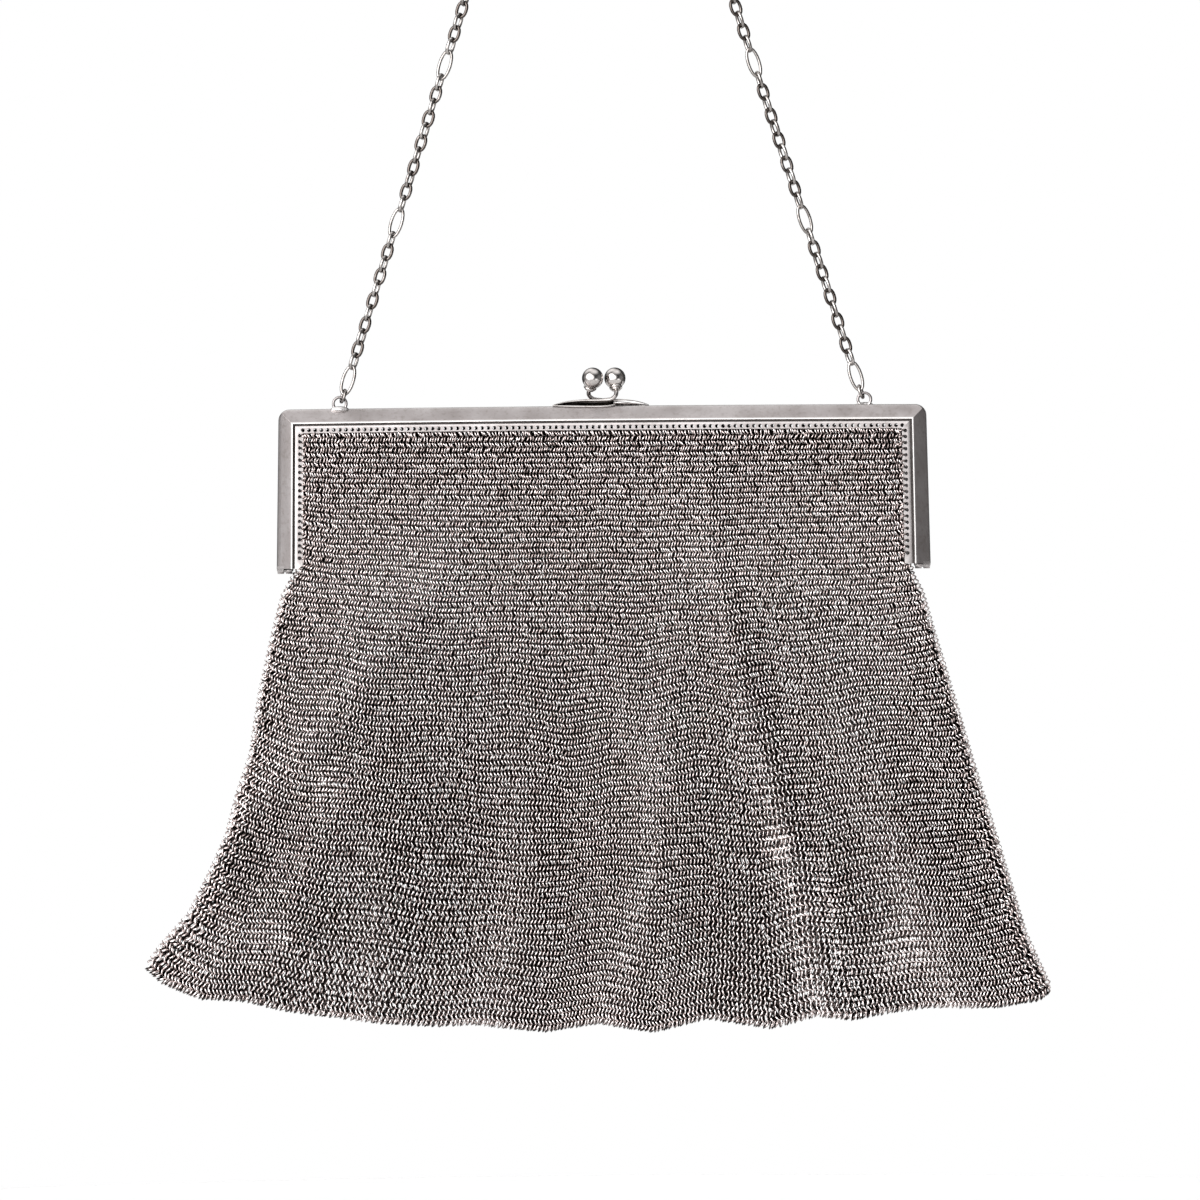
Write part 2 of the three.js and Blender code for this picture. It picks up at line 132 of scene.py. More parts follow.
def face_out(obj: bpy.types.Object) -> bpy.types.Object:
    """Merges doubled corners and turns every face outwards.

    Args:
        obj: The piece.

    Returns:
        The same piece.
    """
    only(obj)
    bpy.ops.object.mode_set(mode="EDIT")
    bpy.ops.mesh.select_all(action="SELECT")
    bpy.ops.mesh.remove_doubles(threshold=0.000004)
    bpy.ops.mesh.normals_make_consistent(inside=False)
    bpy.ops.object.mode_set(mode="OBJECT")
    return obj


def smooth(obj: bpy.types.Object, degrees: float) -> bpy.types.Object:
    """Shades smooth across edges flatter than an angle.

    Args:
        obj: The piece.
        degrees: The angle.

    Returns:
        The same piece.
    """
    only(obj)
    bpy.ops.object.shade_smooth_by_angle(angle=math.radians(degrees))
    return obj


def joined(name: str, pieces: Sequence[bpy.types.Object]) -> bpy.types.Object:
    """Joins several objects into one piece.

    Args:
        name: The new piece's plain name.
        pieces: The objects.

    Returns:
        The new piece.
    """
    only(*pieces)
    if len(pieces) > 1:
        bpy.ops.object.join()
    return settle(bpy.context.view_layer.objects.active, name)


def from_arrays(name: str, points: np.ndarray, faces: np.ndarray) -> bpy.types.Object:
    """Makes a piece from many small repeated shapes.

    Args:
        name: The piece's plain name.
        points: Corner places in metres, shape (n, 3).
        faces: Corner numbers of four-sided faces, shape (m, 4).

    Returns:
        The new object, smooth shaded.
    """
    mesh = bpy.data.meshes.new(name)
    mesh.vertices.add(len(points))
    mesh.vertices.foreach_set("co", points.astype(np.float32).ravel())
    mesh.loops.add(faces.size)
    mesh.loops.foreach_set("vertex_index", faces.astype(np.int32).ravel())
    mesh.polygons.add(len(faces))
    mesh.polygons.foreach_set("loop_start", np.arange(0, faces.size, 4, dtype=np.int32))
    mesh.polygons.foreach_set("use_smooth", np.ones(len(faces), dtype=bool))
    mesh.update(calc_edges=True)
    obj = bpy.data.objects.new(name, mesh)
    bpy.context.scene.collection.objects.link(obj)
    return obj


def shape_of(obj: bpy.types.Object) -> tuple[np.ndarray, np.ndarray]:
    """Reads a small modelled shape and removes its object.

    Args:
        obj: A mesh object of four-sided faces.

    Returns:
        Its corner places and its faces' corner numbers.
    """
    mesh = obj.data
    points = np.zeros(len(mesh.vertices) * 3)
    mesh.vertices.foreach_get("co", points)
    faces = np.zeros(len(mesh.loops), dtype=np.int64)
    mesh.loops.foreach_get("vertex_index", faces)
    bpy.data.objects.remove(obj)
    return points.reshape(-1, 3), faces.reshape(-1, 4)


def repeated(
    points: np.ndarray, faces: np.ndarray, places: np.ndarray, turns: np.ndarray
) -> tuple[np.ndarray, np.ndarray]:
    """Copies one small shape to many places.

    Args:
        points: The shape's corners, shape (p, 3).
        faces: The shape's faces, shape (f, 4).
        places: Where each copy's origin goes, shape (n, 3).
        turns: The three axes of each copy as columns, shape (n, 3, 3).

    Returns:
        The corners and faces of all copies.
    """
    moved = np.einsum("nij,pj->npi", turns, points) + places[:, None, :]
    steps = np.arange(len(places))[:, None, None] * len(points)
    return moved.reshape(-1, 3), (faces[None] + steps).reshape(-1, 4)


def tone(obj: bpy.types.Object, name: str, values: np.ndarray) -> None:
    """Stores one number per corner point, for a finish to read."""
    layer = obj.data.attributes.new(name, "FLOAT", "POINT")
    layer.data.foreach_set("value", values.astype(np.float32))


def swept(name: str, sections: Sequence[Sequence[Vector]]) -> bpy.types.Object:
    """Models a bar by extruding its end face from section to section.

    Args:
        name: The piece's plain name.
        sections: Rings of corners in metres, all with the same count.

    Returns:
        The closed bar. Its corner attribute "place" tells the corner's number in the section.
    """
    bpy.ops.object.select_all(action="DESELECT")
    bpy.ops.mesh.primitive_circle_add(vertices=len(sections[0]), fill_type="NGON")
    bar = bpy.context.object
    bpy.ops.object.mode_set(mode="EDIT")
    shell = bmesh.from_edit_mesh(bar.data)
    place = shell.verts.layers.int.new("place")
    shell.verts.ensure_lookup_table()
    for number, corner in enumerate(shell.verts):
        corner[place] = number
        corner.co = sections[0][number]
    bmesh.update_edit_mesh(bar.data)
    for section in sections[1:]:
        bpy.ops.mesh.extrude_region_move()
        shell = bmesh.from_edit_mesh(bar.data)
        place = shell.verts.layers.int["place"]
        for corner in shell.verts:
            if corner.select:
                corner.co = section[corner[place]]
        bmesh.update_edit_mesh(bar.data)
    bpy.ops.mesh.select_all(action="SELECT")
    bpy.ops.mesh.normals_make_consistent(inside=False)
    bpy.ops.object.mode_set(mode="OBJECT")
    return settle(bar, name)


def rounded(points: Sequence[Vector], steps: int) -> list[Vector]:
    """A smooth line through points.

    Args:
        points: The points that it passes.
        steps: How many steps it has between each two.

    Returns:
        The line's points.
    """
    padded = [points[0], *points, points[-1]]
    line = []
    for n in range(len(points) - 1):
        a, b, c, d = padded[n : n + 4]
        for step in range(steps):
            t = step / steps
            bend = 2 * a - 5 * b + 4 * c - d
            twist = 3 * b - a - 3 * c + d
            line.append((2 * b + (c - a) * t + bend * t**2 + twist * t**3) * 0.5)
    return line + [points[-1]]


def spread(values: Sequence[float], steps: int) -> list[float]:
    """Values for the points of a rounded line, evenly between those given."""
    places = np.arange((len(values) - 1) * steps + 1) / steps
    return list(np.interp(places, np.arange(len(values)), values))


def wire_along(
    name: str, route: Sequence[Vector], radii: Sequence[float], sides: int
) -> bpy.types.Object:
    """Sweeps a round wire along a route.

    Args:
        name: The piece's plain name.
        route: Points of the wire's middle line in metres.
        radii: The wire's radius in metres at each point.
        sides: How many sides the wire has.

    Returns:
        The closed wire.
    """
    sections = []
    side = Vector((1, 0, 0))
    for number, point in enumerate(route):
        ahead = route[min(number + 1, len(route) - 1)] - route[max(number - 1, 0)]
        ahead.normalize()
        side = (side - ahead * side.dot(ahead)).normalized()
        other = ahead.cross(side)
        angles = [2 * math.pi * k / sides for k in range(sides)]
        ways = [side * math.cos(a) + other * math.sin(a) for a in angles]
        sections.append([point + way * radii[number] for way in ways])
    return swept(name, sections)


def dressed(
    obj: bpy.types.Object, finish: "Finish", slot: str, *stands_for: str
) -> bpy.types.Object:
    """Gives a piece its finish, its body and the CAD nodes that it stands for.

    Args:
        obj: The piece.
        finish: The finish that it is made in.
        slot: The record's material slot; not used.
        *stands_for: CAD nodes that it replaces.

    Returns:
        The same piece.
    """
    obj.data.materials.clear()
    obj.data.materials.append(finish.material())
    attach(obj, ROOT)
    if stands_for:
        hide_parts(*stands_for)
    LOG.info("%s: %d faces in %s", obj.name, len(obj.data.polygons), finish.name)
    return obj


# Finishes


class Flow:
    """A number that flows through a material's nodes, with arithmetic on it."""

    def __init__(self, sheet: "NodeSheet", socket: bpy.types.NodeSocket) -> None:
        """Wraps one output socket of a node sheet."""
        self.sheet = sheet
        self.socket = socket

    def _with(self, operation: str, first: Any, second: Any) -> "Flow":
        """Adds one Math node for two values or flows."""
        node = self.sheet.node("ShaderNodeMath", {"operation": operation}, {0: first, 1: second})
        return Flow(self.sheet, node.outputs[0])

    def __add__(self, other: Any) -> "Flow":
        """Adds a value or flow."""
        return self._with("ADD", self, other)

    def __radd__(self, other: Any) -> "Flow":
        """Adds this flow to a value."""
        return self._with("ADD", other, self)

    def __sub__(self, other: Any) -> "Flow":
        """Takes a value or flow away."""
        return self._with("SUBTRACT", self, other)

    def __rsub__(self, other: Any) -> "Flow":
        """Takes this flow away from a value."""
        return self._with("SUBTRACT", other, self)

    def __mul__(self, other: Any) -> "Flow":
        """Multiplies by a value or flow."""
        return self._with("MULTIPLY", self, other)

    def __rmul__(self, other: Any) -> "Flow":
        """Multiplies a value by this flow."""
        return self._with("MULTIPLY", other, self)

    def __pow__(self, other: Any) -> "Flow":
        """Raises to a power."""
        return self._with("POWER", self, other)

    def between(self, low: float, high: float) -> "Flow":
        """Spreads the part from low to high over 0 to 1, and cuts off the rest.

        Args:
            low: What becomes 0.
            high: What becomes 1.

        Returns:
            The new value.
        """
        inputs = {0: self, 1: low, 2: high, 3: 0.0, 4: 1.0}
        node = self.sheet.node("ShaderNodeMapRange", {"clamp": True}, inputs)
        return Flow(self.sheet, node.outputs[0])


class NodeSheet:
    """A tree of shader nodes."""

    def __init__(self, tree: bpy.types.NodeTree) -> None:
        """Starts with an emptied tree."""
        self.tree = tree
        self.tree.nodes.clear()

    def node(self, kind: str, settings: dict[str, Any], inputs: dict[Any, Any]) -> bpy.types.Node:
        """Adds a node.

        Args:
            kind: The node's type.
            settings: Its own settings, which are set first.
            inputs: Values, flows or sockets for its inputs, by name or number.

        Returns:
            The new node.
        """
        made = self.tree.nodes.new(kind)
        for key, value in settings.items():
            setattr(made, key, value)
        for key, value in inputs.items():
            socket = made.inputs[key]
            source = value.socket if isinstance(value, Flow) else value
            if isinstance(source, bpy.types.NodeSocket):
                self.tree.links.new(source, socket)
            else:
                socket.default_value = source
        return made

    def blend(self, share: Flow, first: Any, second: Any) -> bpy.types.NodeSocket:
        """Mixes two colours.

        Args:
            share: How much of the second colour there is.
            first: A colour or socket.
            second: A colour or socket.

        Returns:
            The mixed colour's socket.
        """
        settings = {"data_type": "RGBA", "clamp_factor": True}
        made = self.node("ShaderNodeMix", settings, {0: share, 6: first, 7: second})
        return made.outputs[2]

    def toward(self, way: Vector) -> Flow:
        """How nearly a direction of the surroundings is this one, as a cosine.

        Args:
            way: The direction.

        Returns:
            The cosine.
        """
        coords = self.node("ShaderNodeTexCoord", {}, {})
        aim = {0: coords.outputs["Generated"], 1: way.normalized()}
        made = self.node("ShaderNodeVectorMath", {"operation": "DOT_PRODUCT"}, aim)
        return Flow(self, made.outputs["Value"])


class MetalSheet(NodeSheet):
    """The node tree of one metal."""

    def __init__(self, name: str) -> None:
        """Starts an empty material with this name.

        Args:
            name: The material's name.
        """
        self.material = bpy.data.materials.new(name)
        self.material.use_nodes = True
        super().__init__(self.material.node_tree)

    def place(self) -> bpy.types.NodeSocket:
        """The place on the piece, in metres."""
        return self.node("ShaderNodeTexCoord", {}, {}).outputs["Object"]

    def stretched(self, scale: tuple[float, float, float]) -> bpy.types.NodeSocket:
        """The place on the piece, scaled along each axis."""
        inputs = {"Vector": self.place(), "Scale": scale}
        return self.node("ShaderNodeMapping", {}, inputs).outputs[0]

    def noise(self, scale: float, detail: float, where: bpy.types.NodeSocket | None = None) -> Flow:
        """A cloudy pattern from 0 to 1.

        Args:
            scale: Its fineness, in clouds per metre.
            detail: How many finer layers it has.
            where: The place that it reads, or None for the place on the piece.

        Returns:
            The pattern's value.
        """
        inputs = {"Vector": where or self.place(), "Scale": scale, "Detail": detail}
        return Flow(self, self.node("ShaderNodeTexNoise", {}, inputs).outputs[0])

    def stored(self, name: str) -> Flow:
        """A number that the piece stores for each corner point."""
        made = self.node("ShaderNodeAttribute", {"attribute_name": name}, {})
        return Flow(self, made.outputs["Fac"])

    def bumps(self, height: Flow, strength: float, depth: float) -> bpy.types.NodeSocket:
        """A surface normal that follows a height."""
        inputs = {"Height": height, "Strength": strength, "Distance": depth}
        return self.node("ShaderNodeBump", {}, inputs).outputs[0]

    def metal(self, colour: Any, roughness: Any, normal: Any = None) -> bpy.types.Material:
        """Ends the sheet in a metal surface.

        Args:
            colour: The metal's colour.
            roughness: Its roughness.
            normal: Its normal, or None.

        Returns:
            The finished material.
        """
        inputs = {"Base Color": colour, "Roughness": roughness, "Metallic": 1.0}
        if normal is not None:
            inputs["Normal"] = normal
        surface = self.node("ShaderNodeBsdfPrincipled", {}, inputs)
        self.node("ShaderNodeOutputMaterial", {}, {"Surface": surface.outputs[0]})
        return self.material


def rgb(red: float, green: float, blue: float) -> Colour:
    """A linear colour with full cover."""
    return (red, green, blue, 1.0)


@dataclass(frozen=True)
class Finish:
    """A surface finish, made into a material once."""

    name: str
    clean: Colour
    dull: Colour
    roughness: float

    def material(self) -> bpy.types.Material:
        """The finish's material, made the first time that it is asked for."""
        return bpy.data.materials.get(self.name) or self.make()

    def make(self) -> bpy.types.Material:
        """Makes the material."""
        raise NotImplementedError


@dataclass(frozen=True)
class SheetSilver(Finish):
    """Nickel-silver sheet: softly polished, lighter where marked above 0 (wear by rubbing and
    painted highlight), painted shade in the grooves and on the hidden inside, and near-black
    painted shade inside the lacing holes.
    """

    # Lighter colour: wear by rubbing and painted highlight on the lip, the edges and the ear's
    # foot.
    bright: Colour = rgb(0.66, 0.64, 0.63)
    speck: Colour = rgb(0.16, 0.135, 0.12)
    # Painted shade colour for the grooves and the sheet's hidden inside.
    groove_shade: Colour = rgb(0.03, 0.026, 0.023)
    # Near-black painted shade colour for the walls of the lacing holes.
    hole_shade: Colour = rgb(0.01, 0.009, 0.008)

    def make(self) -> bpy.types.Material:
        """Makes the material.

        Returns:
            The new material.
        """
        sheet = MetalSheet(self.name)
        clouds = sheet.noise(140.0, 3.0)
        grain = sheet.noise(1.0, 2.0, sheet.stretched((600.0, 2500.0, 2500.0)))
        rubbed_sheen_and_shade = sheet.stored("rubbed_sheen_and_shade")
        specks = sheet.noise(1100.0, 4.0).between(0.52, 0.8)
        colour = sheet.blend(clouds.between(0.35, 0.7), self.clean, self.dull)
        colour = sheet.blend(specks * 0.5, colour, self.speck)
        # Lighter where marked above 0: wear by rubbing and painted highlight.
        colour = sheet.blend(rubbed_sheen_and_shade.between(0.0, 1.0), colour, self.bright)
        # Darker where marked below 0: painted shade in the grooves and on the hidden inside.
        colour = sheet.blend((rubbed_sheen_and_shade * -0.9).between(0.0, 1.0), colour, self.groove_shade)
        # Near-black painted shade on the walls inside the lacing holes.
        colour = sheet.blend(sheet.stored("hole_shade_mask"), colour, self.hole_shade)
        roughness = self.roughness + clouds * 0.12 + grain * 0.08 - rubbed_sheen_and_shade * 0.12
        normal = sheet.bumps(grain + specks * -0.3, 0.2, 0.00004)
        return sheet.metal(colour, roughness, normal)


@dataclass(frozen=True)
class PolishedSilver(Finish):
    """Polished metal with faint rubbing, with painted shade on the front leaf where marked 1 and a
    painted highlight on the back leaf where marked -1.
    """

    # Painted shade colour for the front leaf's dish, and painted highlight colour for the back
    # leaf.
    painted_leaf_shading: Colour = rgb(0.05, 0.042, 0.038)
    leaf_highlight: Colour = rgb(0.95, 0.93, 0.92)

    def make(self) -> bpy.types.Material:
        """Makes the material.

        Returns:
            The new material.
        """
        sheet = MetalSheet(self.name)
        clouds = sheet.noise(420.0, 3.0)
        scratches = sheet.noise(1.0, 2.0, sheet.stretched((1400.0, 1400.0, 5200.0)))
        colour = sheet.blend(clouds.between(0.4, 0.75), self.clean, self.dull)
        painted_leaf_shading = sheet.stored("painted_leaf_shading")
        # Painted shade on the front leaf's dish.
        colour = sheet.blend(painted_leaf_shading * (0.8 + clouds * 0.3), colour, self.painted_leaf_shading)
        # Painted highlight on the back leaf.
        colour = sheet.blend(painted_leaf_shading * -1.0, colour, self.leaf_highlight)
        roughness = self.roughness + clouds * 0.1 + scratches.between(0.55, 0.8) * 0.08
        normal = sheet.bumps(scratches, 0.12, 0.00003)
        return sheet.metal(colour, roughness, normal)


@dataclass(frozen=True)
class WireSilver(Finish):
    """Drawn wire, some links duller than others: painted shade on the face-on small links, and a
    random spread.
    """

    def make(self) -> bpy.types.Material:
        """Makes the material.

        Returns:
            The new material.
        """
        sheet = MetalSheet(self.name)
        clouds = sheet.noise(900.0, 2.0)
        worn = sheet.stored("worn")
        colour = sheet.blend((clouds * 0.7 + worn * 0.5).between(0.3, 0.85), self.clean, self.dull)
        roughness = self.roughness + clouds * 0.14
        normal = sheet.bumps(sheet.noise(5200.0, 1.0), 0.2, 0.00003)
        return sheet.metal(colour, roughness, normal)


@dataclass(frozen=True)
class RingSilver(Finish):
    """Fine rings, each a little different, dulled in soft patches over the bag and darkened by the
    painted shade in each ring's mark.
    """

    # Dark and near-black painted shade colours, reached where a ring's mark carries painted shade.
    shade_dark: Colour = rgb(0.11, 0.086, 0.08)
    shade_black: Colour = rgb(0.018, 0.014, 0.013)

    def make(self) -> bpy.types.Material:
        """Makes the material.

        Returns:
            The new material.
        """
        sheet = MetalSheet(self.name)
        patches = sheet.noise(38.0, 3.0)
        worn = sheet.stored("worn")
        # Random soft patches plus each ring's mark of dullness and painted shade.
        tarnish_and_shade = patches * 0.3 + worn * 0.9
        colour = sheet.blend(tarnish_and_shade.between(0.1, 0.7), self.clean, self.dull)
        colour = sheet.blend(tarnish_and_shade.between(0.6, 1.1), colour, self.shade_dark)
        colour = sheet.blend(tarnish_and_shade.between(1.1, 1.6), colour, self.shade_black)
        roughness = self.roughness + worn * 0.12
        return sheet.metal(colour, roughness)


FRAME_FINISH = SheetSilver(
    "frame nickel silver", rgb(0.36, 0.334, 0.332), rgb(0.27, 0.245, 0.24), 0.3
)
CLASP_FINISH = PolishedSilver(
    "polished clasp silver", rgb(0.54, 0.51, 0.495), rgb(0.36, 0.335, 0.32), 0.12
)
CHAIN_FINISH = WireSilver(
    "chain wire silver", rgb(0.44, 0.415, 0.4), rgb(0.075, 0.064, 0.058), 0.17
)
RING_FINISH = RingSilver("ring mesh silver", rgb(0.98, 0.925, 0.915), rgb(0.7, 0.6, 0.578), 0.19)


# The frame


@dataclass
class FrameShape:
    """Sizes of the hinged square frame, shared by all that is fixed to it."""

    width: float = 151.85
    leg_stretch: float = 1.1
    leg_length: float = 37.2
    leg_splay: float = 0.5
    arch: float = 0.25
    corner_insets: tuple[float, ...] = (0.0, 0.1, 0.3, 1.0, 2.9)
    corner_radii: tuple[float, ...] = (2.6, 2.33, 1.8, 0.35, 0.06)
    stations: tuple[float, ...] = (0.8, 0.6, 0.4, 0.2, 0.0)
    rim_depth: float = 1.9
    flange_depth: float = 4.1
    flange_edge: float = 5.7
    bag_gap: float = 0.3
    ear_spacing: float = 122.7
    ear_radius: float = 1.85
    ear_sunk: float = 0.5
    ear_wire: float = 0.66
    top: float = field(init=False)

    def __post_init__(self) -> None:
        """Finds the frame's height from the top of the CAD bag, which hangs below its flange."""
        self.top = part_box("mesh_bag")[1].z / MM + self.flange_edge + self.bag_gap

    @property
    def leg_end(self) -> float:
        """The height of the legs' lower ends."""
        return self.top - self.leg_length

    @property
    def pin_height(self) -> float:
        """The height of the CAD hinge pins, which the knuckles are rolled round."""
        low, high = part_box("hinge_pin_left")
        return (low.z + high.z) / 2 / MM

    @property
    def ear_height(self) -> float:
        """The height of the ear rings' centres."""
        return self.top + self.ear_radius - self.ear_wire / 2 - self.ear_sunk

    def edge_x(self, inset: float, height: float) -> float:
        """The X of a line on the right leg, by its inset from the outer edge, at a height."""
        slope = self.leg_splay / self.leg_length
        return self.width / 2 + (self.top - height) * slope - inset * self.leg_stretch

    def droop(self, x: float) -> float:
        """How far the slightly arched frame lies below its middle, at an X."""
        return self.arch * min(1.0, (2 * x / self.width) ** 2)

    def route(self, inset: float, steps: int) -> list[tuple[float, float]]:
        """Corners of one line along the whole U, from the right leg's end to the left leg's.

        Args:
            inset: The line's inset from the outer edge.
            steps: How many steps each rounded corner has.

        Returns:
            X and Z of each corner.
        """
        radius = float(np.interp(inset, self.corner_insets, self.corner_radii))
        centre_z = self.top - inset - radius
        centre_x = self.edge_x(inset + radius, centre_z)
        right = [(self.edge_x(inset, self.leg_end), self.leg_end)]
        for step in range(steps + 1):
            angle = math.radians(90 * step / steps)
            right.append((centre_x + radius * math.cos(angle), centre_z + radius * math.sin(angle)))
        right += [(centre_x * share, self.top - inset) for share in self.stations]
        right = [(x, z - self.droop(x)) for x, z in right]
        return right + [(-x, z) for x, z in reversed(right[:-1])]


def table(kind: type, *rows: tuple[float, ...]) -> tuple:
    """A table of named rows."""
    return tuple(kind(*row) for row in rows)


class Bend(NamedTuple):
    """One corner of the folded sheet: inset, depth, and its mark: above 0 lighter, from wear by
    rubbing and painted highlight; below 0 painted shade.
    """

    inset: float
    depth: float
    rubbed_sheen_and_shade: float


@dataclass
class FrameHalf:
    """One U-shaped half of the frame, with its pierced flange, hinge knuckles and ear ring."""

    wall: Wall
    shape: FrameShape
    hole_radius: float = 0.46
    hole_pitch: float = 1.43
    hole_inset: float = 4.93
    hole_start: float = 0.45
    hole_end: float = 1.2
    drill_sides: int = 10
    knuckle_radius: float = 0.86
    knuckle_length: float = 1.5
    knuckle_wall: float = 0.3
    knuckle_bevel: float = 0.08
    knuckle_inset: float = 0.05
    knuckle_gap: float = 0.3
    foot_radius: float = 1.95
    foot_scale: tuple[float, float, float] = (1.1, 0.55, 0.36)
    # The last column lightens the lip and the edges with a painted highlight, and paints shade into
    # the groove and over the sheet's hidden inside.
    section: tuple[Bend, ...] = table(
        Bend,
        (0.0, 0.15, 0.3), (0.0, 1.72, 0.2), (0.1, 1.98, 0.5), (0.3, 2.2, 0.1),
        (1.0, 2.82, 0.0), (2.9, 4.5, 0.0), (3.08, 4.67, 0.5), (3.2, 4.77, 1.0),
        (3.36, 4.77, 1.0), (3.45, 4.68, 0.6), (3.49, 4.5, 0.0), (3.5, 3.4, -0.95),
        (3.88, 3.4, -0.95), (3.92, 4.04, -0.2), (4.08, 4.1, 0.3), (5.58, 4.1, 0.3),
        (5.7, 4.0, 0.8), (5.7, 3.6, 0.2), (5.69, 3.3, -0.95), (2.8, 3.3, -0.95),
        (0.8, 1.5, -0.95), (0.8, 0.15, -0.95),
    )

    def build(self) -> list[bpy.types.Object]:
        """Builds and dresses the half.

        Returns:
            The half's sheet, knuckles and ear.
        """
        word = self.wall.name.lower()
        sheet = dressed(self._sheet(word), FRAME_FINISH, "frame_silver", f"frame_{word}")
        knuckles = dressed(self._knuckles(word), FRAME_FINISH, "frame_silver")
        ear = dressed(self._ear(word), FRAME_FINISH, "frame_silver")
        return [sheet, knuckles, ear]

    def _sheet(self, word: str) -> bpy.types.Object:
        """Sweeps the folded sheet round the U and pierces its flange.

        Args:
            word: The half's name in lower case.

        Returns:
            The finished sheet.
        """
        routes = [self.shape.route(bend.inset, 10) for bend in self.section]
        depths = [self.wall.value * bend.depth for bend in self.section]
        sections = [
            [Vector((x, depth, z)) * MM for (x, z), depth in zip(station, depths)]
            for station in zip(*routes)
        ]
        bar = swept(f"frame_sheet_{word}", sections)
        places = np.zeros(len(bar.data.vertices), dtype=np.int32)
        bar.data.attributes["place"].data.foreach_get("value", places)
        # Each corner takes its painted highlight or painted shade from the section table.
        tone(bar, "rubbed_sheen_and_shade", np.array([bend.rubbed_sheen_and_shade for bend in self.section])[places])
        bar.data.attributes.remove(bar.data.attributes["place"])
        with_modifier(bar, "BOOLEAN", operation="DIFFERENCE", solver="EXACT", object=self._holes())
        bpy.data.objects.remove(bpy.data.objects["flange_holes"])
        self._paint_hole_shade(bar)
        return smooth(bar, 28)

    def _paint_hole_shade(self, bar: bpy.types.Object) -> None:
        """Stores 1 for the faces inside the lacing holes and 0 for all others, for near-black
        painted shade inside the holes.

        Args:
            bar: The pierced sheet.
        """
        middles = np.array([face.center for face in bar.data.polygons])[:, [0, 2]] / MM
        level = np.array([abs(face.normal.y) < 0.3 for face in bar.data.polygons])
        holes = np.array([(x, z) for x, z, _ in self.hole_places()])
        far = np.full(len(middles), np.inf)
        for hole in holes:
            far = np.minimum(far, np.linalg.norm(middles - hole, axis=1))
        layer = bar.data.attributes.new("hole_shade_mask", "FLOAT", "FACE")
        inside = (far < self.hole_radius * 1.02) & level
        layer.data.foreach_set("value", inside.astype(np.float32))

    def hole_places(self) -> list[tuple[float, float, float]]:
        """Where the lacing holes are. Those of the back half stand between those of the front half.

        Returns:
            X and Z of each hole, and the way from it to the mesh as a turn in degrees.
        """
        shape = self.shape
        height = shape.top - self.hole_inset
        reach = shape.edge_x(self.hole_inset, height) - self.hole_pitch * self.hole_start
        count = int(2 * reach / self.hole_pitch)
        shift = 0.5 if self.wall is Wall.BACK else 0.0
        last = count + 1 - round(2 * shift)
        across = [-reach + 2 * reach * (n + shift) / count for n in range(last)]
        holes = [(x, height - shape.droop(x), 0.0) for x in across]
        down = int((shape.leg_length - self.hole_inset - self.hole_end) / self.hole_pitch)
        for n in range(1, down + 1):
            z = height - (n - shift) * self.hole_pitch
            x = shape.edge_x(self.hole_inset, z)
            holes += [(x, z, 90.0), (-x, z, -90.0)]
        return holes

    def _holes(self) -> bpy.types.Object:
        """Models one drill and copies it to every lacing hole.

        Returns:
            All drills as one object.
        """
        bpy.ops.object.select_all(action="DESELECT")
        bpy.ops.mesh.primitive_cylinder_add(
            vertices=self.drill_sides, radius=self.hole_radius * MM, depth=3 * MM
        )
        drill = bpy.context.object
        bpy.ops.transform.rotate(value=math.pi / 2, orient_axis="X", center_override=(0, 0, 0))
        settle(drill, "flange_holes")
        copies = []
        for x, z, _ in self.hole_places():
            copy = drill.copy()
            copy.data = drill.data.copy()
            copy.location = Vector((x, self.wall.value * self.shape.flange_depth, z)) * MM
            bpy.context.scene.collection.objects.link(copy)
            copies.append(copy)
        bpy.data.objects.remove(drill)
        return joined("flange_holes", copies)

    def _knuckles(self, word: str) -> bpy.types.Object:
        """Models the rolled knuckles at the leg ends, with the tab that each is bent from.

        Args:
            word: The half's name in lower case.

        Returns:
            The two knuckles and tabs as one piece.
        """
        behind = self.knuckle_length + self.knuckle_gap
        start = self.knuckle_inset if self.wall is Wall.FRONT else behind
        height = self.shape.pin_height
        made = []
        for end in End:
            middle = self.shape.edge_x(start + self.knuckle_length / 2, self.shape.leg_end)
            bpy.ops.object.select_all(action="DESELECT")
            bpy.ops.mesh.primitive_cylinder_add(
                vertices=28,
                radius=self.knuckle_radius * MM,
                depth=self.knuckle_length * MM,
                end_fill_type="NOTHING",
                location=(end.value * middle * MM, 0, height * MM),
                rotation=(0, math.pi / 2, 0),
            )
            barrel = settle(bpy.context.object, "knuckle")
            with_modifier(barrel, "SOLIDIFY", thickness=self.knuckle_wall * MM, offset=-1)
            bevel = self.knuckle_bevel * MM
            with_modifier(barrel, "BEVEL", width=bevel, segments=2, limit_method="ANGLE")
            made += [barrel, self._tab(end, start)]
        knuckles = smooth(joined(f"hinge_knuckles_{word}", made), 35)
        tone(knuckles, "rubbed_sheen_and_shade", np.full(len(knuckles.data.vertices), 0.25))
        return knuckles

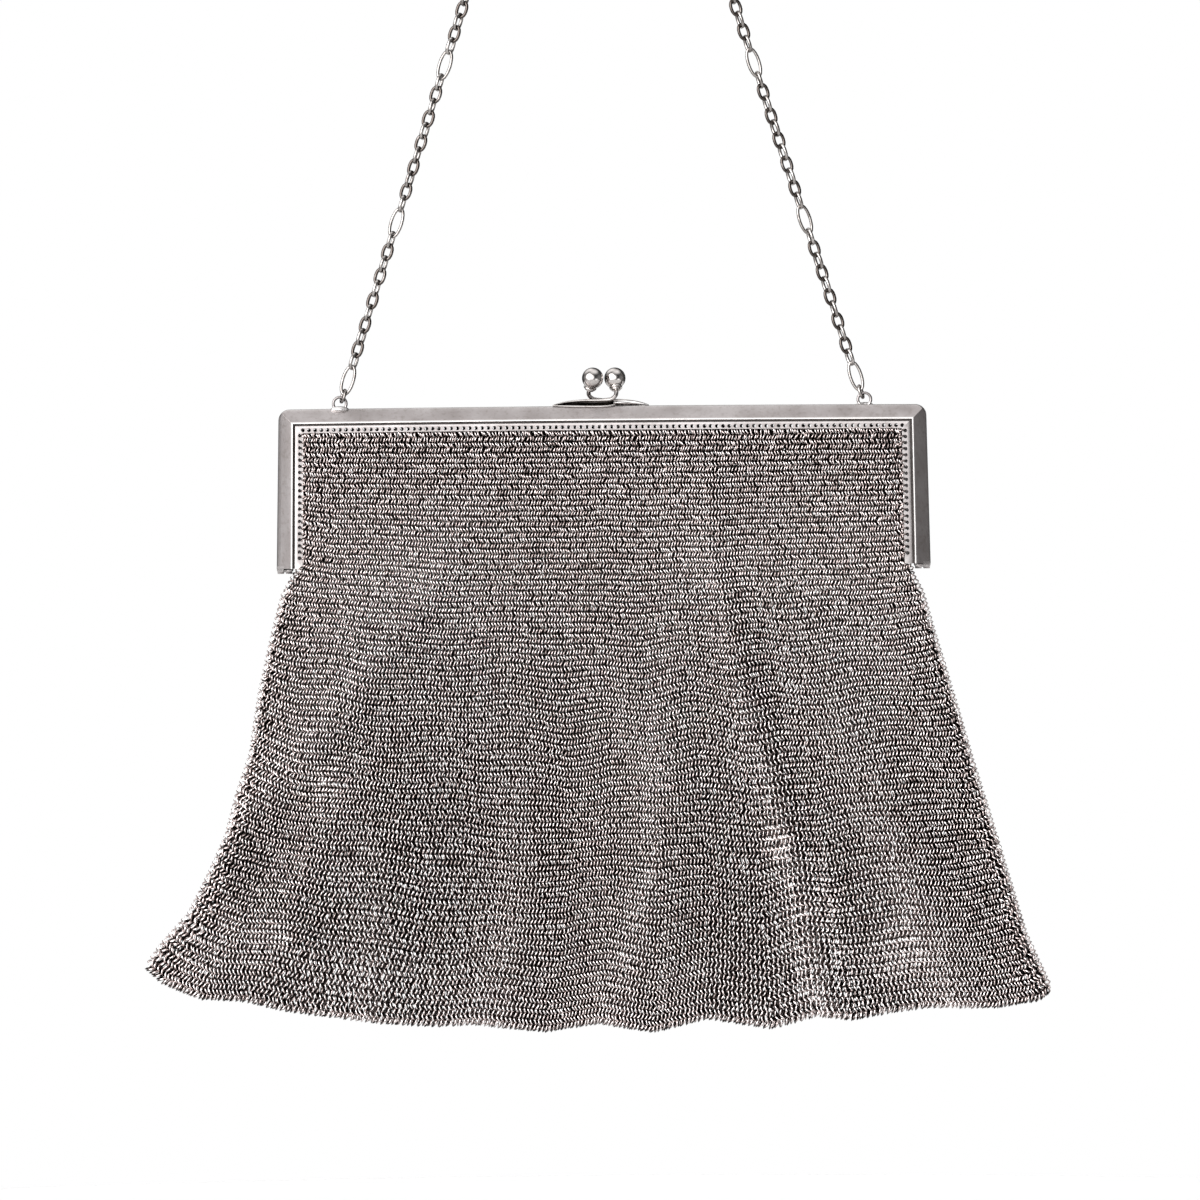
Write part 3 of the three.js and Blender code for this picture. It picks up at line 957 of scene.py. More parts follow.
    def _tab(self, end: End, start: float) -> bpy.types.Object:
        """Models the strip of the leg's face that runs on down to its knuckle.

        Args:
            end: Which end of the frame.
            start: The inset of the tab's outer side.

        Returns:
            The closed tab.
        """
        stop = start + self.knuckle_length
        profile = (
            (start, 1.0),
            (start, 1.95 + start * 0.86),
            (start + 0.2, 2.15 + start * 0.88),
            (stop, 2.0 + stop * 0.86),
            (stop, 1.0),
        )
        sections = []
        for down, shrink in ((-0.3, 0.0), (0.6, 0.0), (0.84, 0.1), (0.95, 0.35)):
            z = self.shape.leg_end - down
            middle = start + self.knuckle_length / 2
            section = []
            for inset, depth in profile:
                x = end.value * self.shape.edge_x(inset + (middle - inset) * shrink, z)
                y = self.wall.value * depth * (1 - shrink * 0.6)
                section.append(Vector((x, y, z)) * MM)
            sections.append(section)
        return swept("tab", sections)

    def _ear(self, word: str) -> bpy.types.Object:
        """Models the ring that holds the chain, and the solder at its foot.

        Args:
            word: The half's name in lower case.

        Returns:
            The ring and its solder as one piece.
        """
        shape = self.shape
        x = self.wall.value * shape.ear_spacing / 2
        y = self.wall.value * shape.rim_depth / 2
        bpy.ops.object.select_all(action="DESELECT")
        bpy.ops.mesh.primitive_torus_add(
            major_segments=36,
            minor_segments=12,
            major_radius=(shape.ear_radius - shape.ear_wire / 2) * MM,
            minor_radius=shape.ear_wire / 2 * MM,
            location=Vector((x, y, shape.ear_height)) * MM,
            rotation=(math.pi / 2, 0, 0),
        )
        ring = settle(bpy.context.object, "ear")
        bpy.ops.object.select_all(action="DESELECT")
        bpy.ops.mesh.primitive_uv_sphere_add(
            segments=28,
            ring_count=14,
            radius=self.foot_radius * MM,
            location=Vector((x, self.wall.value * shape.rim_depth * 1.05, shape.top - 0.3)) * MM,
            scale=self.foot_scale,
        )
        foot = settle(bpy.context.object, "ear_foot")
        ear = smooth(joined(f"chain_ear_{word}", [ring, foot]), 50)
        # The solder foot gets a painted highlight; the ring is made a little darker.
        heights = np.array([corner.co.z for corner in ear.data.vertices])
        is_foot = heights < (shape.ear_height - shape.ear_radius * 0.4) * MM
        tone(ear, "rubbed_sheen_and_shade", np.where(is_foot, 1.0, -0.25))
        return ear


# The clasp


class RimPoint(NamedTuple):
    """A point of a clasp arm: reach from the ball, height over the frame, depth, wire radius."""

    reach: float
    height: float
    depth: float
    radius: float


class Collar(NamedTuple):
    """A collar on the stem: its radius, its height and how far it lies below the ball's centre."""

    radius: float
    height: float
    down: float


@dataclass
class ClaspArm:
    """One arm of the kiss clasp: a ball on a bent wire that thins out along a dished leaf."""

    wall: Wall
    shape: FrameShape
    middle: float = 0.4
    ball_radius: float = 2.5
    ball_spacing: float = 5.2
    stem_lean: float = 0.75
    front_stretch: float = 1.083
    back_stretch: float = 0.967
    leaf_steps: int = 16
    leaf_start: float = 0.3
    leaf_end: float = 13.4
    leaf_dish: float = 0.75
    leaf_thickness: float = 0.16
    collars: tuple[Collar, ...] = (Collar(1.5, 0.6, 2.45), Collar(1.12, 0.5, 2.9))
    arm: tuple[RimPoint, ...] = table(
        RimPoint,
        (0.0, 6.48, -1.0, 0.46), (-0.25, 4.3, -0.1, 0.46), (-0.3, 3.1, 0.6, 0.5),
        (-0.1, 2.4, 0.9, 0.5), (0.6, 1.7, 1.05, 0.5), (1.7, 1.42, 1.1, 0.46),
        (4.5, 1.34, 1.1, 0.34), (7.5, 1.28, 1.15, 0.26), (10.2, 1.02, 1.35, 0.2),
        (12.3, 0.55, 1.7, 0.16), (13.5, 0.14, 2.02, 0.12),
    )
    lower: tuple[RimPoint, ...] = table(
        RimPoint,
        (0.1, 0.3, 1.95, 0.2), (1.4, -0.06, 2.2, 0.22), (4.5, -0.14, 2.28, 0.22),
        (9.0, -0.06, 2.22, 0.19), (13.5, 0.12, 2.04, 0.12),
    )

    def build(self) -> bpy.types.Object:
        """Builds and dresses the arm.

        Returns:
            The whole arm as one piece.
        """
        word = self.wall.name.lower()
        parts = []
        for name, rims, steps, sides in (("wire", self.arm, 6, 14), ("rim", self.lower, 5, 10)):
            route = rounded([self._point(rim) for rim in rims], steps)
            radii = spread([rim.radius * MM for rim in rims], steps)
            parts.append(wire_along(name, route, radii, sides))
        parts += [self._leaf(), *self._ball()]
        for part in parts:
            # The front leaf gets painted shade in its dish and the back leaf a painted highlight.
            painted_leaf_shading = -self.wall.value * float(part.name == "leaf")
            tone(part, "painted_leaf_shading", np.full(len(part.data.vertices), painted_leaf_shading))
        arm = smooth(joined(f"clasp_arm_{word}", parts), 40)
        return dressed(arm, CLASP_FINISH, "clasp_silver", f"clasp_{word}")

    def _point(self, rim: RimPoint) -> Vector:
        """A point of the arm in metres.

        Args:
            rim: The point, as the tables give it.

        Returns:
            Its place.
        """
        turn = -self.wall.value
        stretch = self.front_stretch if self.wall is Wall.FRONT else self.back_stretch
        reach = rim.reach * stretch if rim.reach > 0 else rim.reach
        x = self.middle + turn * (self.ball_spacing / 2 - reach)
        if self.wall is Wall.BACK and rim.reach < 1:
            x -= self.stem_lean * max(0.0, 1 - abs(rim.height - 2.6) / 3.8)
        return Vector((x, self.wall.value * rim.depth, self.shape.top + rim.height)) * MM

    def _leaf(self) -> bpy.types.Object:
        """Models the dished sheet between the arm's wire and the lower rim.

        Returns:
            The closed leaf.
        """
        sections = []
        for step in range(self.leaf_steps + 1):
            length = self.leaf_end - self.leaf_start
            reach = self.leaf_start + length * step / self.leaf_steps
            high = self._between(self.arm[4:], reach)
            low = self._between(self.lower, reach)
            front, back = [], []
            for share in (0.0, 0.2, 0.4, 0.6, 0.8, 1.0):
                height = low.height + (high.height - low.height) * share
                depth = low.depth + (high.depth - low.depth) * share
                dish = self.leaf_dish * math.sin(math.pi * share)
                depth -= dish * min(high.height - low.height, 1.0)
                front.append(self._point(RimPoint(reach, height, depth, 0)))
                inner = RimPoint(reach, height + 0.02, depth - self.leaf_thickness, 0)
                back.append(self._point(inner))
            sections.append(front + back[::-1])
        return swept("leaf", sections)

    def _between(self, rims: Sequence[RimPoint], reach: float) -> RimPoint:
        """The point of a rim at a reach.

        Args:
            rims: The rim's points.
            reach: The reach.

        Returns:
            The point there.
        """
        reaches = [rim.reach for rim in rims]
        values = [np.interp(reach, reaches, [rim[n] for rim in rims]) for n in (1, 2, 3)]
        return RimPoint(reach, *map(float, values))

    def _ball(self) -> list[bpy.types.Object]:
        """Models the ball and the collars under it.

        Returns:
            The ball and its collars.
        """
        ball = self._point(self.arm[0])
        stem = (ball - self._point(self.arm[2])).normalized()
        aim = stem.to_track_quat("Z", "Y").to_euler()
        bpy.ops.object.select_all(action="DESELECT")
        bpy.ops.mesh.primitive_uv_sphere_add(
            segments=40, ring_count=24, radius=self.ball_radius * MM, location=ball, rotation=aim
        )
        made = [settle(bpy.context.object, "ball")]
        for radius, height, down in self.collars:
            bpy.ops.object.select_all(action="DESELECT")
            bpy.ops.mesh.primitive_cylinder_add(
                vertices=32,
                radius=radius * MM,
                depth=height * MM,
                location=ball - stem * down * MM,
                rotation=aim,
            )
            collar = settle(bpy.context.object, "collar")
            made.append(with_modifier(collar, "BEVEL", width=0.2 * MM, segments=4))
        return made


# The chain


@dataclass(frozen=True)
class LinkSize:
    """Sizes of one kind of link."""

    inner: float
    width: float
    wire: float
    squareness: float

    def model(self, round_steps: int, wire_sides: int) -> tuple[np.ndarray, np.ndarray]:
        """Models the link once, with its length along Z and its face towards Y.

        Args:
            round_steps: Steps round the link.
            wire_sides: Sides of its wire.

        Returns:
            Corner places in metres from the start of its opening, and faces.
        """
        bpy.ops.object.select_all(action="DESELECT")
        bpy.ops.mesh.primitive_torus_add(
            major_segments=round_steps,
            minor_segments=wire_sides,
            major_radius=(self.width - self.wire) / 2 * MM,
            minor_radius=self.wire / 2 * MM,
            rotation=(math.pi / 2, 0, 0),
        )
        link = settle(bpy.context.object, "link")
        points, faces = shape_of(link)
        wide, high = (self.width - self.wire) / 2 * MM, (self.inner + self.wire) / 2 * MM
        angle = np.arctan2(points[:, 2], points[:, 0])
        thick = np.hypot(points[:, 0], points[:, 2]) - wide
        cos, sin = np.cos(angle), np.sin(angle)
        middle_x = wide * np.sign(cos) * np.abs(cos) ** self.squareness
        middle_z = high * np.sign(sin) * np.abs(sin) ** self.squareness
        out_x, out_z = middle_x / wide**2, middle_z / high**2
        length = np.hypot(out_x, out_z)
        x = middle_x + thick * out_x / length
        z = middle_z + thick * out_z / length + self.inner / 2 * MM
        return np.stack([x, points[:, 1], z], -1), faces


class LaidLink(NamedTuple):
    """A link of a run: its corners and faces, its start, its turn in degrees and its dullness."""

    shape: tuple[np.ndarray, np.ndarray]
    start: float
    turn: float
    dull: float


@dataclass
class ChainHandle:
    """The chain handle: on each side a jump link and equal stretches of long and small links."""

    shape: FrameShape
    small: LinkSize = LinkSize(2.82, 3.1, 0.8, 0.86)
    long: LinkSize = LinkSize(6.2, 3.3, 0.72, 0.96)
    jump: LinkSize = LinkSize(2.15, 2.7, 0.75, 0.96)
    turned: float = 25.0
    lean: float = 0.5
    bite: float = 0.144
    gap: float = 0.3
    small_links: int = 11
    stretches: int = 5
    jump_turn: float = 40.0
    jump_dull: float = 0.3
    long_dull: float = 0.2
    # Face-on small links carry painted shade; edge-on ones stay nearly light.
    edge_on_shade: float = 0.15
    face_on_shade: float = 1.1

    def build(self) -> list[bpy.types.Object]:
        """Builds and dresses every piece of the chain.

        Returns:
            The chain's pieces, from the jump links to the top link.
        """
        small = self.small.model(18, 8)
        long = self.long.model(20, 8)
        jump_link = self.jump.model(18, 8)
        chance = np.random.default_rng(41)
        made = []
        for end in End:
            foot, run = self._line(end)
            lay = end.value * self.turned
            turn = lay + self.jump_turn * end.value
            first = [LaidLink(jump_link, -self.gap, turn, self.jump_dull)]
            made.append(self._piece(f"links_jump_{end.word}", first, foot, run, chance))
            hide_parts(f"chain_jump_{end.word}")
            jump = self.jump.inner - 2 * self.gap
            stretch = self.long.inner + self.small_links * (self.small.inner + self.bite)
            for index in range(self.stretches):
                start = jump + index * (stretch - self.gap)
                links = [LaidLink(long, start, lay * 0.4, self.long_dull)]
                start += self.long.inner + self.bite
                for number in range(self.small_links):
                    # Face-on links take painted shade; edge-on links stay light.
                    face_on = number % 2
                    turn = lay if face_on else lay + 90
                    dull = self.face_on_shade if face_on else self.edge_on_shade
                    links.append(LaidLink(small, start, turn, dull))
                    start += self.small.inner + self.bite
                made.append(self._piece(f"links_{end.word}_{index + 1}", links, foot, run, chance))
                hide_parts(f"chain_{end.word}_{index + 1}")
        made.append(self._top_link(long))
        return made

    def _line(self, end: End) -> tuple[Vector, Vector]:
        """The start and direction of one straight side of the chain.

        Args:
            end: Which end of the frame.

        Returns:
            The lowest point in millimetres, and the direction.
        """
        shape = self.shape
        side = end.value
        ear = Vector((side * shape.ear_spacing / 2, side * shape.rim_depth / 2, shape.ear_height))
        across = self.long.inner / 2 - self.small.wire - self.gap
        hook = Vector((side * across, 0, self.long.wire + self.gap))
        pull = Vector((-side * math.sin(self.lean), 0, math.cos(self.lean)))
        foot = ear + pull * (shape.ear_radius - shape.ear_wire)
        return foot, (hook - foot).normalized()

    def _piece(
        self,
        name: str,
        links: Sequence[LaidLink],
        foot: Vector,
        run: Vector,
        chance: np.random.Generator,
    ) -> bpy.types.Object:
        """Copies links along one straight run and dresses them as one piece.

        Args:
            name: The piece's plain name.
            links: Each link's shape, start along the run, turn in degrees and dullness.
            foot: The lowest point of the run in millimetres.
            run: The run's direction.
            chance: The source of small differences.

        Returns:
            The new piece.
        """
        corners, faces, worn, count = [], [], [], 0
        for (points, sides), start, lay, dull in links:
            turn = lay + chance.normal(0, 5.0)
            upright = Vector((0, 0, 1)).rotation_difference(run).to_matrix()
            aim = upright @ Matrix.Rotation(math.radians(turn), 3, "Z")
            place = (foot + run * start) * MM
            corners.append(points @ np.array(aim).T + np.array(place))
            faces.append(sides + count)
            worn.append(np.full(len(points), dull + chance.uniform(-0.15, 0.3)))
            count += len(points)
        piece = from_arrays(name, np.concatenate(corners), np.concatenate(faces))
        tone(piece, "worn", np.concatenate(worn))
        return dressed(piece, CHAIN_FINISH, "chain_silver")

    def _top_link(self, long: tuple[np.ndarray, np.ndarray]) -> bpy.types.Object:
        """Lays the middle link level on what the purse hangs from.

        Args:
            long: The long link's corners and faces.

        Returns:
            The new piece.
        """
        points, sides = long
        turned = points.copy() - np.array((0, 0, self.long.inner / 2 * MM))
        turned = turned[:, [2, 1, 0]] * np.array((1, 1, -1))
        turned[:, 2] += self.long.width / 2 * MM
        piece = from_arrays("links_top", turned, sides)
        tone(piece, "worn", np.full(len(points), 0.4))
        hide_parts("chain_top_link")
        return dressed(piece, CHAIN_FINISH, "chain_silver")


# The ring mesh


class SideRow(NamedTuple):
    """A row of the bag's side outline: share of the way down, and share of each flare."""

    down: float
    left: float
    right: float


class HemRow(NamedTuple):
    """A row of the bag's lower outline: share of the way across, and share of the drop."""

    across: float
    drop: float


class Fold(NamedTuple):
    """A hanging fold: place across at top and hem, half-width, start and depth to the front."""

    top: float
    hem: float
    width: float
    start: float
    forward: float


def eased(share: np.ndarray) -> np.ndarray:
    """Eases a rise from 0 to 1 in and out."""
    return share**2 * (3 - 2 * share)


@dataclass
class BagShape:
    """The form of the bag: its outline, its depth and the folds that it hangs in."""

    shape: FrameShape
    drop: float = 141.1
    half_at_hinge: float = 72.0
    flare_left: float = 35.2
    flare_right: float = 33.1
    belly: float = 4.9
    edge_depth: float = 0.75
    fold_depth: float = 3.4
    folds_grown: float = 0.75
    hinge_drop: float = 1.1
    tuck: float = 0.5
    tuck_height: float = 1.6
    sides: tuple[SideRow, ...] = table(
        SideRow,
        (0.0, 0.0, 0.0), (0.02, 0.03, 0.01), (0.06, 0.088, 0.075), (0.16, 0.16, 0.16),
        (0.31, 0.25, 0.295), (0.46, 0.313, 0.424), (0.56, 0.405, 0.517), (0.66, 0.473, 0.607),
        (0.76, 0.596, 0.697), (0.86, 0.733, 0.785), (0.94, 0.925, 0.893), (1.0, 1.04, 0.98),
    )
    hem: tuple[HemRow, ...] = table(
        HemRow,
        (0.0, 0.884), (0.02, 0.911), (0.06, 0.936), (0.11, 0.942), (0.15, 0.958),
        (0.26, 0.98), (0.32, 0.986), (0.36, 0.983), (0.44, 0.996), (0.5, 0.983),
        (0.56, 0.998), (0.62, 0.977), (0.69, 0.995), (0.74, 0.974), (0.78, 0.98),
        (0.86, 0.961), (0.94, 0.961), (0.985, 0.951), (1.0, 0.934),
    )
    folds: tuple[Fold, ...] = table(
        Fold,
        (0.37, -0.13, 0.04, -0.15, 0.75), (0.345, 0.055, 0.03, 0.45, 0.35),
        (0.05, 0.26, 0.03, 0.5, 0.45), (0.39, 0.4, 0.04, 0.25, 0.6),
        (0.665, 0.53, 0.032, 0.15, 0.5), (0.675, 0.765, 0.026, -0.25, 0.9),
        (0.79, 0.925, 0.055, 0.05, 0.8),
    )

    def place(self, across: np.ndarray, fall: np.ndarray, wall: Wall) -> np.ndarray:
        """Points of one wall's middle surface.

        Args:
            across: Shares of the way from the left edge to the right.
            fall: Shares of the way from the frame to the hem.
            wall: Which wall.

        Returns:
            Places in metres, with a last axis of three.
        """
        top = self.shape.top - self.shape.flange_edge - self.shape.bag_gap
        hinge = self.shape.leg_end - self.hinge_drop
        columns = [row.across for row in self.hem]
        hem = top - self.drop * np.interp(across, columns, [row.drop for row in self.hem])
        z = top + (hem - top) * fall
        down = np.clip((hinge - z) / (hinge - hem), 0, 1)
        shares = [row.down for row in self.sides]
        to_left = np.interp(down, shares, [row.left for row in self.sides])
        to_right = np.interp(down, shares, [row.right for row in self.sides])
        left = -self.half_at_hinge - self.flare_left * to_left
        right = self.half_at_hinge + self.flare_right * to_right
        beside = self.shape.edge_x(self.shape.flange_edge - self.tuck, z)
        above = np.clip((z - hinge) / self.tuck_height, 0, 1)
        left = left + (-beside - left) * above
        right = right + (beside - right) * above
        x = left + (right - left) * across
        y = self._folds(across, fall) + wall.value * self._half_depth(across, down)
        return np.stack([x, y, z], -1) * MM

    def _grown(
        self, fold: Fold, across: np.ndarray, fall: np.ndarray
    ) -> tuple[np.ndarray, np.ndarray]:
        """How far a fold stands out, from 0 to 1, and a place's half-widths from its ridge.

        Args:
            fold: The fold.
            across: Shares of the way from the left edge to the right.
            fall: Shares of the way from the frame to the hem.

        Returns:
            Both numbers for each place.
        """
        grown = np.clip((fall - fold.start) / (self.folds_grown - fold.start), 0, 1)
        offset = (across - fold.top - (fold.hem - fold.top) * fall) / fold.width
        return eased(grown) * np.exp(-(offset**2)), offset

    def _folds(self, across: np.ndarray, fall: np.ndarray) -> np.ndarray:
        """How far the folds carry both walls forwards or back.

        Args:
            across: Shares of the way from the left edge to the right.
            fall: Shares of the way from the frame to the hem.

        Returns:
            Depths in millimetres, below 0 to the front.
        """
        total = np.zeros(np.broadcast(across, fall).shape)
        for fold in self.folds:
            total -= fold.forward * self.fold_depth * self._grown(fold, across, fall)[0]
        return total

    def flanks(self, across: np.ndarray, fall: np.ndarray) -> np.ndarray:
        """Where the folds' right flanks (above 0) and ridges (below 0) are, for painted shade on
        the flanks and a painted highlight on the ridges.

        Args:
            across: Shares of the way from the left edge to the right.
            fall: Shares of the way from the frame to the hem.

        Returns:
            A number for each place.
        """
        total = np.zeros(np.broadcast(across, fall).shape)
        for fold in self.folds:
            grown, offset = self._grown(fold, across, fall)
            total += min(1.0, 1.5 * fold.forward) * grown * (offset * 1.6 - 0.5)
        return total

    def _half_depth(self, across: np.ndarray, down: np.ndarray) -> np.ndarray:
        """Half the bag's depth, from its middle to the middle of a wall.

        Args:
            across: Shares of the way from the left edge to the right.
            down: Shares of the way from the hinges to the hem.

        Returns:
            Depths in millimetres.
        """
        flange = self.shape.flange_depth - 0.1
        body = flange + (self.belly - flange) * np.sin(math.pi * np.minimum(down, 0.9))
        low = np.clip((down - 0.8) / 0.2, 0, 1)
        body = body + (self.edge_depth - body) * eased(low)
        edge = np.sqrt(np.clip(np.minimum(across, 1 - across) / 0.16, 0, 1))
        closing = eased(np.clip(down / 0.1, 0, 1))
        side = np.minimum(self.edge_depth + (body - self.edge_depth) * edge, body)
        return body + (side - body) * closing


# A ring of few steps and sides is modelled this much larger, to look as wide as a round one.
RING_GROWTH = 1.06
WIRE_GROWTH = 1.21


def ring_shape(
    radius: float, wire: float, angles: Sequence[float]
) -> tuple[np.ndarray, np.ndarray]:
    """Models one three-sided ring flat in the plane of its first two axes.

    Args:
        radius: The ring's middle radius in millimetres.
        wire: The wire's radius in millimetres.
        angles: Where its few steps are, in degrees. More of them go to the half that shows.

    Returns:
        Corner places in metres and faces.
    """
    steps = len(angles)
    bpy.ops.object.select_all(action="DESELECT")
    bpy.ops.mesh.primitive_torus_add(
        major_segments=steps,
        minor_segments=3,
        major_radius=radius * RING_GROWTH * MM,
        minor_radius=wire * WIRE_GROWTH * MM,
    )
    points, faces = shape_of(settle(bpy.context.object, "ring"))
    turned = np.arctan2(points[:, 1], points[:, 0]) / (2 * math.pi)
    place = np.round(turned * steps).astype(int) % steps
    shift = np.radians(np.array(angles))[place] - 2 * math.pi * place / steps
    cos, sin = np.cos(shift), np.sin(shift)
    x = points[:, 0] * cos - points[:, 1] * sin
    y = points[:, 0] * sin + points[:, 1] * cos
    return np.stack([x, y, points[:, 2]], -1), faces


@dataclass
class EdgeRings:
    """Rings that join the two walls down both sides and along the hem."""

    bag: BagShape
    pitch: float = 1.12
    ring_radius: float = 0.66
    wire_radius: float = 0.19
    lean: float = 46.0
    jitter: float = 10.0
    step_angles: tuple[float, ...] = (-30.0, 30.0, 90.0, 150.0, 210.0, 270.0)
    seed: int = 31

    def build(self) -> bpy.types.Object:
        """Builds and dresses the joining rings as one piece.

        Returns:
            The new piece.
        """
        line = self._line()
        length = np.concatenate([[0], np.cumsum(np.linalg.norm(np.diff(line, axis=0), axis=1))])
        count = int(length[-1] / (self.pitch * MM))
        steps = np.linspace(0, length[-1], count)
        where = np.stack([np.interp(steps, length, line[:, n]) for n in range(3)], -1)
        ahead = np.gradient(where, axis=0)
        ahead /= np.linalg.norm(ahead, axis=1, keepdims=True)
        chance = np.random.default_rng(self.seed)
        depth = np.array((0.0, -1.0, 0.0))
        outward = np.cross(ahead, depth)
        by_turns = np.where(np.arange(count) % 2, 1, -1)
        lean = np.radians(self.lean + chance.normal(0, self.jitter, count)) * by_turns
        lean = lean[:, None]
        first = depth * np.cos(lean) + ahead * np.sin(lean)
        turns = np.stack([first, outward, np.cross(first, outward)], -1)
        points, faces = ring_shape(self.ring_radius, self.wire_radius, self.step_angles)
        corners, sides = repeated(points, faces, where, turns)
        piece = from_arrays("ring_mesh_edge", corners, sides)
        tone(piece, "worn", np.repeat(np.clip(chance.normal(0.3, 0.2, count), 0, 1), len(points)))
        return dressed(piece, RING_FINISH, "ring_mesh")

    def _line(self) -> np.ndarray:
        """The edge where the walls meet: down the left side, along the hem and up the right side.

        Returns:
            The line's points in metres.
        """
        down = np.linspace(0.24, 0.985, 120)
        over = np.linspace(0.004, 0.996, 400)
        left = self._between(np.full(120, 0.002), down)
        hem = self._between(over, np.full(400, 0.99))
        right = self._between(np.full(120, 0.998), down[::-1])
        return np.concatenate([left, hem, right])

    def _between(self, across: np.ndarray, fall: np.ndarray) -> np.ndarray:
        """Points halfway between the two walls."""
        front, back = (self.bag.place(across, fall, wall) for wall in Wall)
        return (front + back) / 2


class OpenPatch(NamedTuple):
    """A place where the mesh is pulled open: middle across and down, and half-sizes."""

    across: float
    fall: float
    wide: float
    high: float


@dataclass
class RingMesh:
    """One wall of interlinked rings: rows that lean by turns to the left and the right."""

    wall: Wall
    bag: BagShape
    rows: int
    columns: int
    bands: int
    ring_radius: float = 0.82
    wire_radius: float = 0.2
    opening: float = 0.6
    nod: float = 18.0
    roll: float = 20.0
    jitter: float = 4.5
    # Strength of the painted shade where each ring passes under its neighbours.
    under_neighbour_shade: float = 1.5
    # Painted shade on every second row.
    second_row_shade: float = 0.16
    flank_shade: float = 0.16
    most_bulk: float = 1.25
    margin: float = 0.0035
    crowding: float = 0.016
    sway: float = 0.004
    step_angles: tuple[float, ...] = (-25.0, 25.0, 115.0, 245.0)
    patches: tuple[OpenPatch, ...] = table(
        OpenPatch,
        (0.1, 0.9, 0.028, 0.06), (0.84, 0.9, 0.05, 0.055), (0.716, 0.69, 0.022, 0.028),
        (0.765, 0.8, 0.03, 0.06), (0.11, 0.62, 0.03, 0.05),
    )
    seed: int = 7

    def build(self) -> list[bpy.types.Object]:
        """Builds and dresses the wall in bands, from the frame down.

        Returns:
            The wall's pieces.
        """
        row, column = np.meshgrid(np.arange(self.rows), np.arange(self.columns), indexing="ij")
        fall = (row + 0.35) / (self.rows + 0.2)
        inward = np.minimum(column, self.columns - 1 - column)
        stagger = 0.25 * np.where(row % 2, 1, -1) * (1 - np.exp(-inward / 2))
        across = self.margin + (1 - 2 * self.margin) * (column + 0.5 + stagger) / self.columns
        across = across - self.crowding * fall**1.5 * np.sin(4 * math.pi * across)
        waves = np.sin(2 * math.pi * (3.3 * across + 1.4 * fall))
        waves += 0.7 * np.sin(2 * math.pi * (7.7 * across - 2.3 * fall))
        fall = fall + self.sway * 6.75 * fall**2 * (1 - fall) * waves
        places = self.bag.place(across, fall, self.wall)
        turns = self._turns(across, fall, row)
        worn = self._ring_wear_and_shade(across, fall, row)
        points, faces = ring_shape(self.ring_radius, self.wire_radius, self.step_angles)
        reach = np.hypot(points[:, 0], points[:, 1])
        # Painted shade along each ring, darker towards where it passes under its neighbours, less
        # lower down, more on the folds' right flanks and less on their ridges.
        under_neighbour_share = np.clip(1.35 * (1 - points[:, 0] / reach) - 0.05, 0, 1)
        flanks = np.clip(self.bag.flanks(across, fall), -1, 1)
        under_neighbour_shade = self.under_neighbour_shade * (1.02 - 0.12 * fall + 0.3 * flanks)
        made = []
        for band, rows in enumerate(np.array_split(np.arange(self.rows), self.bands)):
            where = places[rows].reshape(-1, 3)
            corners, sides = repeated(points, faces, where, turns[rows].reshape(-1, 3, 3))
            name = f"ring_mesh_{self.wall.name.lower()}_{band + 1}"
            piece = from_arrays(name, corners, sides)
            # Each ring's dullness plus the painted shade along it.
            wear_with_neighbour_shade = worn[rows].reshape(-1, 1) + under_neighbour_shade[rows].reshape(-1, 1) * under_neighbour_share[None]
            tone(piece, "worn", wear_with_neighbour_shade.ravel())
            made.append(dressed(piece, RING_FINISH, "ring_mesh", "mesh_bag"))
        return made

    def _ring_wear_and_shade(self, across: np.ndarray, fall: np.ndarray, row: np.ndarray) -> np.ndarray:
        """How dull every ring is, with painted shade: more in every second row, at the sides, below
        the frame and on the folds' right flanks, less on their ridges.

        Args:
            across: Shares of the way from the left edge to the right.
            fall: Shares of the way from the frame to the hem.
            row: Row numbers.

        Returns:
            One number for each ring.
        """
        chance = np.random.default_rng(self.seed)
        worn = chance.normal(0.05, 0.13, row.shape) + chance.normal(0, 0.03, (self.rows, 1))
        # Painted shade on every second row, and waves along the rows that paint streaks of light.
        worn += self.second_row_shade * (row % 2) + self._streaks(across, chance, 9.0)
        # Painted shade at the sides and below the frame.
        worn += 0.25 * np.exp(-np.minimum(across, 1 - across) / 0.025) + 0.2 * np.exp(-fall / 0.09)
        # Painted shade on the folds' right flanks and painted highlight on their ridges.
        worn += self.flank_shade * self.bag.flanks(across, fall)
        return np.clip(worn, -0.2, 1)

    def _turns(self, across: np.ndarray, fall: np.ndarray, row: np.ndarray) -> np.ndarray:
        """The axes of every ring, from the surface under it and its row's lean.

        Args:
            across: Shares of the way from the left edge to the right.
            fall: Shares of the way from the frame to the hem.
            row: Row numbers.

        Returns:
            Three axes as columns for each ring, scaled by its bulk.
        """
        step = 0.002
        place, wall = self.bag.place, self.wall
        along = place(across + step, fall, wall) - place(across - step, fall, wall)
        up = place(across, fall - step, wall) - place(across, fall + step, wall)
        pitch = np.linalg.norm(along, axis=-1) / (2 * step) / self.columns
        along /= np.linalg.norm(along, axis=-1, keepdims=True)
        up -= along * (up * along).sum(-1, keepdims=True)
        up /= np.linalg.norm(up, axis=-1, keepdims=True)
        out = np.cross(along, up) * -self.wall.value
        chance = np.random.default_rng(self.seed + 1)
        unrest = self._unrest(across, row)

        def shaken() -> np.ndarray:
            """Small random angles, larger where the mesh is disturbed."""
            return np.radians(chance.normal(0, self.jitter, row.shape)) * unrest

